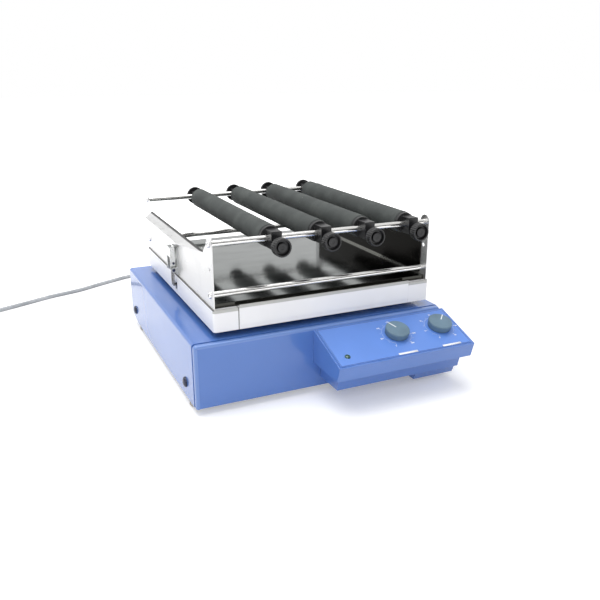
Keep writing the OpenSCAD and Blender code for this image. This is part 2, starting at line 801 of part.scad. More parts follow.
module motor() {
    color([0.32, 0.33, 0.35]) translate([motor_x, motor_y, z_motor]) difference() {
        union() {
            cylinder(d = motor_d, h = motor_h - 8);
            cylinder(d = motor_d - 6, h = motor_h);
        }
        translate([0, 0, -1]) cylinder(d = shaft_d + 2 * run, h = motor_h - 8);
    }
}
module motor_bracket() {
    reach = motor_d / 2 + 4;
    front = y_seam + 4 - motor_y;
    color(steel) translate([motor_x, motor_y, 0]) difference() {
        union() {
            box([-reach - 4, front, z_bridge], [reach + 4, reach, z_bridge + bridge_t]);
            for (x = [-reach - 4, reach]) box([x, front, z_floor], [x + 4, reach, z_bridge + 0.2]);
        }
        translate([0, 0, z_bridge - 1]) cylinder(d = shaft_d + 6, h = bridge_t + 2);
    }
}
module motor_pulley() {
    color(alloy) translate([motor_x, motor_y, 0]) {
        translate([0, 0, z_pulley]) pulley(motor_pulley_d, shaft_d - 0.4);
        translate([0, 0, z_pulley - 1]) cylinder(d = shaft_d, h = z_motor + motor_h - 12 - z_pulley);
    }
}
module drive_belt() {
    edge = flange_t + air;
    color(black) translate([0, 0, z_pulley + edge]) linear_extrude(pulley_w - 2 * edge) difference() {
        belt_line(belt_gap + belt_t);
        belt_line(belt_gap);
    }
}
module belt_line(grow) {
    hull() {
        translate([crank_x, crank_y]) circle(crank_pulley_d / 2 + grow, $fn = 64);
        translate([motor_x, motor_y]) circle(motor_pulley_d / 2 + grow, $fn = hull_fn);
    }
}

// Side plate, drawn as the left one in (Y, Z)
module plate_outline() {
    polygon([
        [y_rod1 - ear_r, z_t1], [y_rod1 - ear_r, z_rod], [y_rod1 + ear_r, z_rod],
        [y_rod1 + ear_foot, z_edge], [y_rod2 - ear_foot, z_edge],
        [y_rod2 - ear_r, z_rod], [y_rod2 + ear_r, z_rod], [y_rod2 + ear_r, z_t1]
    ]);
    for (y = [y_rod1, y_rod2]) translate([y, z_rod]) circle(ear_r);
}
module side_plate(side) {
    y_lip1 = y_rod1 + ear_foot + 1;
    y_lip2 = y_rod2 - ear_foot - 1;
    y_taper = y_lip1 + lip_taper;
    color(steel) on_side(side) {
        difference() {
            along_x(-x_outer, -x_inner) plate_outline();
            for (y = [y_rod1, y_rod2], z = [z_rod, z_low, z_spare])
                rod_x([-x_outer - 1, y, z], screw_d + 0.4, plate_t + 2);
        }
        translate([-(x_inner + x_outer) / 2, 0, z_edge - fit]) rotate([0, -lip_tilt, 0]) mirror([1, 0, 0])
            translate([0, 0, -plate_t]) linear_extrude(plate_t) polygon([
                [0, y_lip1], [plate_t, y_lip1], [lip_w, y_taper],
                [lip_w, y_lip2 - lip_w], [plate_t, y_lip2], [0, y_lip2]
            ]);
    }
}
module left_plate() { side_plate(-1); }
module right_plate() { side_plate(1); }
module holder_pan() {
    y0 = y_rod1 - pan_end;
    y1 = y_rod2 + pan_end;
    color(steel) on_table() {
        box([-x_inner, y0, z_pan], [x_inner, y1, z_pan + pan_t]);
        for (y = [y0, y1 - pan_t]) box([-x_inner, y, z_t1], [x_inner, y + pan_t, z_pan + 0.1]);
        for (x = [-x_inner, x_inner - pan_t])
            box([x, y_rod1 + rod_air, z_pan], [x + pan_t, y_rod2 - rod_air, z_edge - 3]);
    }
}
module rod_places() {
    for (y = [y_rod1, y_rod2], z = [z_rod, z_low]) translate([0, y, z]) children();
}
module cross_rods() {
    color(steel) on_table() rod_places() difference() {
        rod_x([-x_inner, 0, 0], rod_d, 2 * x_inner);
        for (x = [-x_inner - 1, x_inner - tap_l]) rod_x([x, 0, 0], screw_d, tap_l + 1);
    }
}
module rod_screws() {
    color(steel) for (side = [-1, 1]) on_side(side) rod_places() {
        translate([-x_outer, 0, 0]) rotate([0, -90, 0]) rotate_extrude() polygon([
            [0, 0], [head_d / 2, 0], [head_d / 2, head_h - 1], [head_d / 2 - 1, head_h], [1.6, head_h],
            [1.6, head_h - 1.2], [0, head_h - 1.2]
        ]);
        rod_x([-x_outer - 0.2, 0, 0], screw_d - 0.2, plate_t + 10);
    }
}

// Rollers: sleeve, core with its clamp block and end caps, and clamp knob with its screw
module on_roller(k) {
    translate([table_at + roller_at[k - 1], 0, 0]) children();
}
module roller_sleeve(k) {
    color(sleeve_grey) on_roller(k) difference() {
        rod_y([0, y_sleeve1, z_rod], roller_d, y_sleeve2 - y_sleeve1);
        rod_y([0, y_sleeve1 - 1, z_rod], core_d + 2 * run, y_sleeve2 - y_sleeve1 + 2);
    }
}
module roller_core(k) {
    half = clamp_w / 2;
    y_disc = y_rod2 + rod_air;
    color(black) on_roller(k) difference() {
        union() {
            rod_y([0, y_cap, z_rod], core_d, y_sleeve2 - y_cap);
            rod_y([0, y_cap, z_rod], cap_d, cap_t);
            box([-half, y_block, z_rod - block_down], [half, y_cap + 1, z_rod + block_up]);
            box([-half, y_sleeve2 - 0.2, z_rod - core_d / 3], [half, y_disc + 1, z_rod + core_d / 3]);
            rod_y([0, y_disc, z_rod], cap_d, rear_disc_t);
        }
        for (y = [y_rod1, y_rod2]) rod_x([-cap_d, y, z_rod], rod_d + 2 * fit, 2 * cap_d);
        rod_y([0, y_block - 1, z_grip], grip_screw_d + 2 * run, grip_hole + 1);
    }
}
module roller_knob(k) {
    rim = 3;
    boss_d = 11;
    color(black) on_roller(k) translate([0, y_grip, z_grip]) rotate([90, 0, 0]) {
        difference() {
            linear_extrude(grip_t) difference() {
                circle(d = grip_d);
                for (i = [0:17]) rotate(20 * i) translate([grip_d / 2 + 0.5, 0]) circle(1.3);
            }
            translate([0, 0, grip_t - 5]) difference() {
                cylinder(d = grip_d - 2 * rim, h = 6);
                cylinder(d = boss_d, h = 3.5);
            }
        }
        translate([0, 0, y_grip - y_block + 0.3]) cylinder(d = 12, h = y_block - y_grip);
        translate([0, 0, y_grip - y_rod1 + rod_air + 0.5])
            cylinder(d = grip_screw_d, h = y_rod1 - y_grip - rod_air);
    }
}

// Toggle latches, drawn on the left side: u is measured outwards from the plate
module latch_bases() {
    half = lever_w / 2 + ear_gap;
    color(steel) for (side = [-1, 1]) on_side(side) translate([-x_outer, y_latch, 0]) {
        box([-1.5, -half - base_ear_t, z_t1 + 2], [0, half + base_ear_t, z_pivot + lever_l - 4]);
        for (y = [-half - base_ear_t, half]) {
            along_y_plate(y) {
                translate([-pivot_out, z_pivot]) circle(4);
                translate([-pivot_out, z_pivot - 4]) square([pivot_out, 8]);
            }
        }
        for (y = [-half - base_ear_t, half - ear_gap - 1.5])
            rod_y([-pivot_out, y, z_pivot], pivot_d, ear_gap + base_ear_t + 1.5);
    }
}
module along_y_plate(y) {
    along_y(y, y + base_ear_t) children();
}
module latch_lever(side) {
    half = lever_w / 2;
    reach = 3.5;
    color(steel) on_side(side) translate([-x_outer, y_latch, 0]) {
        for (y = [-half, half - lever_t]) difference() {
            along_y(y, y + lever_t) {
                translate([-pivot_out, z_pivot]) circle(reach);
                translate([-pivot_out - reach, z_pivot]) square([2 * reach, lever_l - reach]);
            }
            rod_y([-pivot_out, y - 1, z_pivot], pivot_d + 2 * run, lever_t + 2);
            rod_y([-bail_out, y - 1, z_bail], bail_d + 2 * run, lever_t + 2);
        }
        box([-pivot_out - reach, -half, z_bail + bail_d / 2 + 8],
            [lever_t - pivot_out - reach, half, z_pivot + lever_l - reach]);
        along_y(-half, half) polygon([
            [-pivot_out - reach, z_pivot + lever_l - reach - 1],
            [-pivot_out - reach - tip_out, z_pivot + lever_l],
            [-pivot_out - reach - tip_out, z_pivot + lever_l + lever_t],
            [lever_t - pivot_out - reach, z_pivot + lever_l - reach]
        ]);
    }
}
module left_latch_lever() { latch_lever(-1); }
module right_latch_lever() { latch_lever(1); }
// Wire bar between two points with a knuckle at its start, a little thicker than the wire
module wire(a, b) {
    v = b - a;
    translate(a) {
        sphere(d = knuckle_d);
        rotate([0, acos(v[2] / norm(v)), atan2(v[1], v[0])]) cylinder(d = bail_d, h = norm(v));
    }
}
module latch_bail(side) {
    z_turn = z_hook + 10;
    bar = lever_w / 2 + 0.6;
    color(steel) on_side(side) translate([-x_outer, y_latch, 0]) {
        rod_y([-bail_out, -bar, z_bail], bail_d, 2 * bar);
        for (y = [-1, 1]) {
            wire([-bail_out, y * wire_y, z_bail], [-bail_out, y * wire_y, z_turn]);
            wire([-bail_out, y * wire_y, z_turn], [-bail_out, y * hook_y, z_hook]);
            wire([-bail_out, y * hook_y, z_hook], [-hook_in, y * hook_y, z_hook]);
        }
        wire([-hook_in, -hook_y, z_hook], [-hook_in, hook_y, z_hook]);
        translate([-hook_in, hook_y, z_hook]) sphere(d = knuckle_d);
    }
}
module left_latch_bail() { latch_bail(-1); }
module right_latch_bail() { latch_bail(1); }

// Smooth curve through the route's points
function bend(a, b, c, d, t) =
    0.5 * (2 * b + (c - a) * t + (2 * a - 5 * b + 4 * c - d) * t * t + (3 * b - a - 3 * c + d) * t * t * t);
function ground(a) = [cos(a), sin(a), 0];
function curve(pts, steps) = let (
    n = len(pts),
    all = concat([pts[0] - [0, 40, 0]], pts, [pts[n - 1] + 40 * ground(coil_heading)])
) concat(
    [for (i = [0:n - 2], j = [0:steps - 1]) bend(all[i], all[i + 1], all[i + 2], all[i + 3], j / steps)],
    [pts[n - 1]]
);
// Tube swept along points, as triangles
function heading(path, i) = unit(path[min(i + 1, len(path) - 1)] - path[max(i - 1, 0)]);
function ring(p, t, r, sides) = let (u = unit(cross(t, [0, 0, 1])), v = cross(u, t))
    [for (k = [0:sides - 1]) p + r * (cos(360 * k / sides) * u + sin(360 * k / sides) * v)];
module tube(path, d, sides) {
    n = len(path);
    rings = [for (i = [0:n - 1]) each ring(path[i], heading(path, i), d / 2, sides)];
    walls = [
        for (i = [0:n - 2], k = [0:sides - 1])
            let (a = i * sides + k, b = i * sides + (k + 1) % sides)
            each [[a, a + sides, b], [b, a + sides, b + sides]]
    ];
    near = [for (k = [1:sides - 2]) [0, k, k + 1]];
    far = [for (k = [1:sides - 2]) (n - 1) * sides * [1, 1, 1] + [0, k + 1, k]];
    polyhedron(rings, concat(walls, near, far), convexity = 10);
}
// Coil: the lower layer winds in, climbs in half a turn, and the upper layer winds out again
coil_start = cord_route[len(cord_route) - 1];
coil_entry = coil_start + cord_d * ground(coil_heading);
coil_centre = coil_entry + coil_r * ground(coil_heading - 90);
coil_total = 2 * coil_turns + 0.5;
function coil_at(t) = let (
    climb = min(max(2 * (t - coil_turns), 0), 1),
    r = coil_r - coil_pitch * (min(t, coil_turns) - max(t - coil_turns - 0.5, 0)),
    z = coil_layer * climb * climb * (3 - 2 * climb)
) coil_centre + r * ground(coil_heading + 90 - 360 * t) + [0, 0, z];
coil_turn = [for (i = [0:coil_total * coil_rings]) coil_at(i / coil_rings)];
plug_heading = coil_heading - 360 * coil_total;
plug_at = coil_at(coil_total) + tail_l * ground(plug_heading);
coil_path = concat([coil_start], coil_turn, [plug_at]);
// Least gap of the coil to itself, between points that lie over a third of a turn apart
fine = 2 * coil_rings;
fine_path = [for (i = [0:coil_total * fine]) coil_at(i / fine)];
coil_gap = min([
    for (i = [0:len(fine_path) - 1])
        for (j = [i + fine / 3:len(fine_path) - 1]) norm(fine_path[i] - fine_path[j])
]) - cord_d;
echo(coil_gap = coil_gap);

module cord_relief() {
    flange = relief_d + 7;
    color(black) translate([relief_x, y_rear, relief_z]) rotate([-90, 0, 0]) {
        translate([0, 0, -sheet - 8]) cylinder(d = relief_d, h = sheet + 9);
        cylinder(d = flange, h = 4);
        cylinder(d1 = relief_d, d2 = cord_d + 2, h = relief_l);
    }
}
module mains_cord() {
    color(cord_grey) tube(curve(cord_route, cord_steps), cord_d, cord_sides);
}
module cord_coil() {
    color(cord_grey) tube(coil_path, cord_d, coil_sides);
}
module mains_plug() {
    color(black) translate(plug_at) rotate([0, 0, plug_heading]) {
        rotate([0, 90, 0]) cylinder(d1 = cord_d + 3, d2 = cord_d + 9, h = 14);
        translate([10, 0, -plug_at[2]]) linear_extrude(2 * plug_at[2]) polygon([
            [0, -8], [0, 8], [14, plug_w / 2], [plug_l, plug_w / 2],
            [plug_l, -plug_w / 2], [14, -plug_w / 2]
        ]);
    }
    color(steel) translate(plug_at) rotate([0, 0, plug_heading])
        for (y = [-1, 1]) rod_x([plug_l + 9.8, y * pin_pitch / 2, 0], 4.8, pin_l);
}
module cord_tie() {
    low = coil_r - coil_turns * coil_pitch - cord_d / 2 - 1.2;
    high = coil_r + cord_d / 2 + 1;
    top = coil_start[2] + coil_layer + cord_d / 2 + 0.4;
    centre = [coil_centre[0], coil_centre[1], 0];
    color(black) translate(centre) rotate(coil_heading - 180) difference() {
        box([low - tie_t, -tie_w / 2, 0], [high + tie_t, tie_w / 2, top + tie_t]);
        box([low, -tie_w, tie_t], [high, tie_w, top]);
    }
}

base_housing();
front_cover();
rear_panel();
bottom_plate();
feet();
case_screws();
control_housing();
control_fascia();
speed_knob();
speed_shaft();
timer_knob();
timer_shaft();
potentiometers();
pilot_lamp();
control_board();
power_board();
power_switch();
switch_frame();
motor();
motor_bracket();
motor_pulley();
drive_belt();
crank_pulley();
crank_shaft();
crank_bearings();
bearing_bridge();
connecting_rod();
guide_rods();
guide_blocks();
carriage();
linear_bushes();
table_posts();
shaking_table();
left_plate();
right_plate();
holder_pan();
cross_rods();
rod_screws();
for (k = [1:4]) {
    roller_sleeve(k);
    roller_core(k);
    roller_knob(k);
}
latch_bases();
left_latch_lever();
right_latch_lever();
left_latch_bail();
right_latch_bail();
cord_relief();
mains_cord();
cord_coil();
mains_plug();
cord_tie();
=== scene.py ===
"""Looks of a bench shaker whose table slides left and right under four cushioned clamping rollers.

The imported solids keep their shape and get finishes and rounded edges; cord, plug, rollers' sleeves, knobs,
screws, print and the front cover's rim are surfaces worked out here. Metres, +X right, +Y back, +Z up, as
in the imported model.
"""
import json

import bmesh
import bpy
import numpy as np
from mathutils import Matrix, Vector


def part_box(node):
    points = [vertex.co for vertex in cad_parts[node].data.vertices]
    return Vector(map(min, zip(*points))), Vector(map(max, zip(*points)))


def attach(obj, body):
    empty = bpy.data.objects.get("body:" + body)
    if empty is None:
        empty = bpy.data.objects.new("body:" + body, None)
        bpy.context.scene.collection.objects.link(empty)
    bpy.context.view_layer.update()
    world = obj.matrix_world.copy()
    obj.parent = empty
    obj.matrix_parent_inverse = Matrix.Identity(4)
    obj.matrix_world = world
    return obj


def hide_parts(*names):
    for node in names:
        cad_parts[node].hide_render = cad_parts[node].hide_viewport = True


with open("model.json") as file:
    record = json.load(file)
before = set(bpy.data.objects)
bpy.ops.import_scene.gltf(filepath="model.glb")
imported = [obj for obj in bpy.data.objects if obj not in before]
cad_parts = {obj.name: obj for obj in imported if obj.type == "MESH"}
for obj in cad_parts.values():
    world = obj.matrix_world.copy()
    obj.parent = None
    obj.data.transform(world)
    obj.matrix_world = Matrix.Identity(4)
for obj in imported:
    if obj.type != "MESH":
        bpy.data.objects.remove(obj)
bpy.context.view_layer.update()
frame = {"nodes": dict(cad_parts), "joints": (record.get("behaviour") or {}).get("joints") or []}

MM = 0.001
MERGE_NEAR = 1e-6
NODES = frame["nodes"]
JOINTS = {joint["name"]: joint for joint in frame["joints"]}
ROLLERS = (1, 2, 3, 4)


# Camera and cord

EYE = (-0.379, -0.892, 0.409)
EYE_TILT = np.radians(71.36)
EYE_TURN = np.radians(-24.74)
EYE_LENS = 40.26
EYE_SENSOR = 36

CORD_D = 7 * MM
CORD_ROUTE = np.array([
    [60, 250, 30], [60, 290, 21], [58, 335, 8], [50, 385, 3.5], [32, 432, 3.5], [0, 471, 3.5],
    [-42, 496, 3.5], [-88, 503, 3.5], [-133, 495, 3.5], [-200, 463, 3.5], [-247, 437.5, 3.5],
    [-302, 418.5, 3.5], [-346, 397, 3.5], [-392, 374.5, 4], [-436, 353, 4.8],
]) * MM
COIL_HEADING = 206
COIL_R = 47 * MM
COIL_TURNS = 2
COIL_CLIMB = 0.5
COIL_TOTAL = 2 * COIL_TURNS + COIL_CLIMB
COIL_PITCH = 9 * MM
COIL_LAYER = 8 * MM
COIL_RINGS = 24
CORD_TAIL = 15 * MM


def set_camera():
    """Camera at the photograph's viewing angle."""
    data = bpy.data.cameras.new("camera")
    data.lens = EYE_LENS
    data.sensor_width = EYE_SENSOR
    camera = bpy.data.objects.new("camera", data)
    camera.location = EYE
    camera.rotation_euler = (EYE_TILT, 0, EYE_TURN)
    bpy.context.scene.collection.objects.link(camera)
    bpy.context.scene.camera = camera


def ground(degrees):
    """Unit vectors on the floor that point along one or more headings."""
    turn = np.radians(np.asarray(degrees, float))
    return np.stack([np.cos(turn), np.sin(turn), np.zeros_like(turn)], -1)


def coil_centre():
    """The coil's middle: one cord's width past the route's end, then a radius to the right of its
    heading."""
    return CORD_ROUTE[-1] + CORD_D * ground(COIL_HEADING) + COIL_R * ground(COIL_HEADING - 90)


def coil_line():
    """Spiral: the radius shrinks by the pitch each turn, the cord climbs one layer in half a turn on a
    smooth step, and the radius grows again by the pitch each turn of the upper layer."""
    t = np.linspace(0, COIL_TOTAL, int(COIL_TOTAL * COIL_RINGS) + 1)
    climb = np.clip((t - COIL_TURNS) / COIL_CLIMB, 0, 1)
    shrink = np.minimum(t, COIL_TURNS) - np.maximum(t - COIL_TURNS - COIL_CLIMB, 0)
    radius = COIL_R - COIL_PITCH * shrink
    line = coil_centre() + radius[:, None] * ground(COIL_HEADING + 90 - 360 * t)
    line[:, 2] += COIL_LAYER * climb ** 2 * (3 - 2 * climb)
    return line


PLUG_HEADING = COIL_HEADING - 360 * COIL_TOTAL
PLUG_AT = coil_line()[-1] + CORD_TAIL * ground(PLUG_HEADING)


def bezier_curve(name, points, first_way, last_way, radius):
    """Round cord along points: each point's tangent runs from its neighbour before to the one after, and
    its handles are a third of the way to those neighbours."""
    step = np.linalg.norm(np.diff(points, axis=0), axis=1)
    way = np.vstack([[first_way], points[2:] - points[:-2], [last_way]])
    way /= np.linalg.norm(way, axis=1)[:, None]
    before = points - way * np.append(step[0], step)[:, None] / 3
    after = points + way * np.append(step, step[-1])[:, None] / 3
    data = bpy.data.curves.new(name, "CURVE")
    data.dimensions = "3D"
    data.bevel_depth = radius
    data.bevel_resolution = 5
    data.resolution_u = 4
    data.use_fill_caps = True
    spline = data.splines.new("BEZIER")
    spline.bezier_points.add(len(points) - 1)
    spline.bezier_points.foreach_set("co", points.ravel())
    spline.bezier_points.foreach_set("handle_left", before.ravel())
    spline.bezier_points.foreach_set("handle_right", after.ravel())
    return data


# Meshes from grids of points

def grid(points, close_rows=False, close_cols=True):
    """A surface: points [rows, cols, xyz] and the quads between neighbouring rows and columns."""
    rows, cols = points.shape[:2]
    index = np.arange(rows * cols).reshape(rows, cols)
    if close_cols:
        index = np.hstack([index, index[:, :1]])
    if close_rows:
        index = np.vstack([index, index[:1]])
    quads = np.stack([index[:-1, :-1], index[:-1, 1:], index[1:, 1:], index[1:, :-1]], -1)
    return points.reshape(-1, 3), quads.reshape(-1, 4)


def build(name, surfaces, finish, body, sharp=40):
    """One object from several surfaces: doubled points at poles and seams are merged, faces turn outwards,
    and edges over the sharp angle stay crisp."""
    mesh = bpy.data.meshes.new(name)
    starts = np.cumsum([0] + [len(points) for points, _ in surfaces])
    points = np.vstack([points for points, _ in surfaces])
    faces = [face for start, (_, quads) in zip(starts, surfaces) for face in (quads + start).tolist()]
    mesh.from_pydata(points.tolist(), [], faces)
    work = bmesh.new()
    work.from_mesh(mesh)
    bmesh.ops.remove_doubles(work, verts=work.verts, dist=MERGE_NEAR)
    bmesh.ops.dissolve_degenerate(work, edges=work.edges, dist=1e-7)
    bmesh.ops.recalc_face_normals(work, faces=work.faces)
    work.to_mesh(mesh)
    work.free()
    mesh.shade_smooth()
    mesh.set_sharp_from_angle(angle=np.radians(sharp))
    return settle(bpy.data.objects.new(name, mesh), finish, body)


def settle(obj, finish, body):
    """Links a finished piece, gives it its material and lets it ride on its body."""
    bpy.context.scene.collection.objects.link(obj)
    obj.data.materials.append(finish.material)
    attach(obj, body)
    return obj


def rounded(corners, radii, steps=5):
    """Profile through corners: an inner corner with a radius becomes an arc that touches both its sides."""
    corners = np.asarray(corners, float)
    profile = [corners[:1]]
    for before, corner, after, radius in zip(corners, corners[1:], corners[2:], radii):
        if radius == 0:
            profile.append(corner[None])
            continue
        a = (before - corner) / np.linalg.norm(before - corner)
        b = (after - corner) / np.linalg.norm(after - corner)
        half = np.arccos(np.clip(a @ b, -1, 1)) / 2
        middle = corner + (a + b) / np.linalg.norm(a + b) * radius / np.sin(half)
        start = corner + a * radius / np.tan(half) - middle
        end = corner + b * radius / np.tan(half) - middle
        share = np.linspace(0, 1, steps + 1)[:, None]
        arc = start * (1 - share) + end * share
        profile.append(middle + arc / np.linalg.norm(arc, axis=1)[:, None] * radius)
    profile.append(corners[-1:])
    return np.vstack(profile)


def lathe(profile, around=48, reach=None):
    """Turned surface: each profile point (radius, height) sweeps a circle about the height axis. reach, if
    given, is a function of (radius, height, angle) that returns the radius at that angle."""
    angle = np.linspace(0, 2 * np.pi, around, endpoint=False)
    radius, height = profile[:, :1], profile[:, 1:]
    spread = radius + 0 * angle if reach is None else reach(radius, height, angle[None])
    return np.stack([spread * np.cos(angle), spread * np.sin(angle), height + 0 * angle], -1)


def place(points, origin, right, up, out):
    """Local points moved to an origin, with local x, y and z along right, up and out."""
    return np.asarray(origin) + points @ np.array([right, up, out], float)


X_AXIS, Y_AXIS, Z_AXIS = np.eye(3)


# Materials

NOISE_LOW = 0.3
NOISE_HIGH = 0.7


def srgb(red, green, blue):
    """Linear colour of an 8-bit screen colour."""
    share = np.array([red, green, blue]) / 255
    linear = np.where(share <= 0.04045, share / 12.92, ((share + 0.055) / 1.055) ** 2.4)
    return tuple(float(v) for v in linear)


class Finish:
    """A procedural material: a Principled shader fed by textures on Object coordinates."""

    def __init__(self, name, **sockets):
        self.material = bpy.data.materials.new(name)
        self.material.use_nodes = True
        self.nodes = self.material.node_tree.nodes
        self.links = self.material.node_tree.links
        self.shader = self.nodes["Principled BSDF"]
        self.place = self.nodes.new("ShaderNodeTexCoord").outputs["Object"]
        for socket, value in sockets.items():
            self.shader.inputs[socket.replace("_", " ")].default_value = value

    def fed(self, socket):
        """What feeds a socket of the shader."""
        return self.shader.inputs[socket].links[0].from_socket

    def add(self, kind, inputs=(), **settings):
        """A node with its settings; inputs maps socket names or places to values or to other outputs."""
        node = self.nodes.new(kind)
        for key, value in settings.items():
            setattr(node, key, value)
        for key, value in dict(inputs).items():
            if isinstance(value, bpy.types.NodeSocket):
                self.links.new(value, node.inputs[key])
            else:
                node.inputs[key].default_value = value
        return node

    def feed(self, socket, output):
        """Links an output to a socket of the shader."""
        self.links.new(output, self.shader.inputs[socket])

    def noise(self, scale, detail=3.0, stretch=None):
        """Cloudy noise, scale per metre; stretch multiplies the scale along X, Y and Z."""
        place = self.place
        if stretch:
            place = self.add("ShaderNodeMapping", {"Vector": place, "Scale": stretch}).outputs[0]
        inputs = {"Vector": place, "Scale": scale, "Detail": detail}
        return self.add("ShaderNodeTexNoise", inputs).outputs[0]

    def specks(self, scale, size):
        """Round specks about random points: 0 past size, a share of a cell, and 1 within 0.6 of it."""
        cells = self.add("ShaderNodeTexVoronoi", {"Vector": self.place, "Scale": scale})
        return self.span(cells.outputs["Distance"], size, size * 0.6, 0, 1)

    def along(self, axis):
        """The X, Y or Z coordinate, in metres."""
        return self.add("ShaderNodeSeparateXYZ", {0: self.place}).outputs[axis]

    def span(self, value, low, high, to_low=0.0, to_high=1.0):
        """Maps low..high to to_low..to_high and holds the ends."""
        settings = {0: value, 1: low, 2: high, 3: to_low, 4: to_high}
        return self.add("ShaderNodeMapRange", settings).outputs[0]

    def spread(self, noise, to_low, to_high):
        """Maps the range in which most of a noise value lies to to_low..to_high."""
        return self.span(noise, NOISE_LOW, NOISE_HIGH, to_low, to_high)

    def band(self, value, low, high, fade):
        """1 between low and high, falling to 0 at both within fade."""
        return self.math("MULTIPLY", self.span(value, low, low + fade), self.span(value, high, high - fade))

    def math(self, operation, a, b=0.0):
        """One operation of the Math node on two values."""
        return self.add("ShaderNodeMath", {0: a, 1: b}, operation=operation).outputs[0]

    def tones(self, value, *colours):
        """Colours spread evenly over the range in which most of a noise value lies."""
        ramp = self.add("ShaderNodeValToRGB", {0: value})
        stops = np.linspace(NOISE_LOW, NOISE_HIGH, len(colours))
        ramp.color_ramp.elements[0].position = stops[0]
        ramp.color_ramp.elements[1].position = stops[-1]
        for stop in stops[1:-1]:
            ramp.color_ramp.elements.new(stop)
        for element, colour in zip(ramp.color_ramp.elements, colours):
            element.color = (*colour, 1)
        return ramp.outputs[0]

    def mix(self, share, a, b):
        """Colour a where share is 0 and b where it is 1."""
        node = self.add("ShaderNodeMix", {0: share}, data_type="RGBA")
        for key, colour in ((6, a), (7, b)):
            if isinstance(colour, bpy.types.NodeSocket):
                self.links.new(colour, node.inputs[key])
            else:
                node.inputs[key].default_value = (*colour, 1)
        return node.outputs[2]

    def relief(self, height, depth):
        """Bump of a height value, depth in metres, on top of any relief given before."""
        bump = self.add("ShaderNodeBump", {"Height": height, "Distance": depth, "Strength": 1.0})
        before = self.shader.inputs["Normal"].links
        if before:
            self.links.new(before[0].from_socket, bump.inputs["Normal"])
        self.feed("Normal", bump.outputs[0])


def shade(colour, factor):
    """A colour times a factor, held at 1."""
    return tuple(min(1.0, v * factor) for v in colour)


def paint(name, colour, rough, peel=2.5e-6, coat=0.0):
    """Sprayed enamel: slow drift of tone and gloss, orange peel about a millimetre wide."""
    f = Finish(name, Coat_Weight=coat, Coat_Roughness=0.06)
    f.feed("Base Color", f.tones(f.noise(14, 4), shade(colour, 0.97), colour, shade(colour, 1.03)))
    f.feed("Roughness", f.spread(f.noise(9, 1), rough - 0.02, rough + 0.03))
    f.relief(f.noise(900, 2), peel)
    return f


def film(name, colour):
    """Printed fascia film: even colour with a fine hammered skin that breaks up its gloss."""
    f = Finish(name)
    f.feed("Base Color", f.tones(f.noise(30), shade(colour, 0.97), shade(colour, 1.03)))
    f.feed("Roughness", f.spread(f.noise(400), 0.30, 0.42))
    f.relief(f.noise(2600, 2), 6e-6)
    return f


def brushed(name, colour, rough, stretch, depth=4e-6):
    """Ground or brushed metal: fine lines along one axis in tone, gloss and height, and soft smears."""
    f = Finish(name, Metallic=1.0)
    lines = f.noise(90, 4, stretch)
    smear = f.noise(22, 3)
    tone = f.tones(lines, shade(colour, 0.93), colour, shade(colour, 1.04))
    f.feed("Base Color", f.mix(f.span(smear, 0.45, 0.8, 0, 0.35), tone, shade(colour, 0.88)))
    f.feed("Roughness", f.span(f.math("ADD", lines, smear), 0.7, 1.3, rough * 0.75, rough * 1.4))
    f.relief(lines, depth)
    return f


def table_paint(low, high):
    """Pale satin enamel with painted shade drawn in: a grey band along the top of its front and back, and
    dark lines of painted shade in the joints of the folded front and of the side plates."""
    f = paint("table_paint", srgb(238, 238, 240), 0.32)
    hem_shade_grey, shadow = srgb(184, 184, 181), (0.10, 0.10, 0.10)
    fade = 0.2 * MM
    ledge_in, ledge_down = 2.1 * MM, 0.7 * MM
    fold_wide, fold_left, fold_right = 1.3 * MM, 0.9, 0.15
    hem_tall, hem_fade, hem_deep = 4.3 * MM, 0.8 * MM, 5 * MM
    middle, half = (np.asarray(low) + high) / 2, (np.asarray(high) - low) / 2
    x, y, z = (f.along(axis) for axis in "XYZ")
    across = f.math("ABSOLUTE", f.math("SUBTRACT", x, middle[0]))
    along = f.math("ABSOLUTE", f.math("SUBTRACT", y, middle[1]))
    # Painted shade: dark lines on the table's top along the side plates' feet and at the ends of the folded
    # front.
    ledge = f.math("MULTIPLY", f.span(across, half[0] - ledge_in, half[0] - ledge_in + fade),
                   f.span(z, TABLE_TOP - ledge_down, TABLE_TOP - ledge_down + fade))
    fold = f.math("MULTIPLY", f.span(across, FLANGE_HALF + fold_wide, FLANGE_HALF + fold_wide - fade),
                  f.span(across, FLANGE_HALF, FLANGE_HALF + fade / 2))
    # The painted shade at the folded front's ends is strong at the left end and faint at the right.
    fold = f.math("MULTIPLY", fold, f.span(x, -MM, MM, fold_left, fold_right))
    rise = f.span(across, FLANGE_HALF + fade / 2, FLANGE_HALF, TABLE_TOP, high[2])
    under = f.math("SUBTRACT", rise, z)
    # Painted shade: a grey band along the top of the front and back, standing for the shaded top of the
    # folded front.
    hem_shade = f.math("MULTIPLY", f.span(under, hem_tall, hem_tall - hem_fade),
                 f.span(along, half[1] - hem_deep, half[1] - hem_deep + MM))
    tone = f.mix(hem_shade, f.fed("Base Color"), hem_shade_grey)
    f.feed("Base Color", f.mix(f.math("MAXIMUM", ledge, fold), tone, shadow))
    return f


def plate_finish():
    """Brushed stainless side plates with a dark line of painted shade along the fold of their lips."""
    f = brushed("plate_steel", (0.66, 0.66, 0.66), 0.36, (1.0, 1.0, 14.0))
    shadow = (0.05, 0.05, 0.05)
    half, fade, end_fade = 1.2 * MM, 0.3 * MM, 0.5 * MM
    # Painted shade: a dark line along the lips' fold, over the lips' length.
    line = f.band(f.along("Z"), LIP_FOLD - half, LIP_FOLD + half, fade)
    ends = f.band(f.along("Y"), LIP_FRONT - end_fade, LIP_BACK + end_fade, end_fade)
    f.feed("Base Color", f.mix(f.math("MULTIPLY", line, ends), f.fed("Base Color"), shadow))
    return f


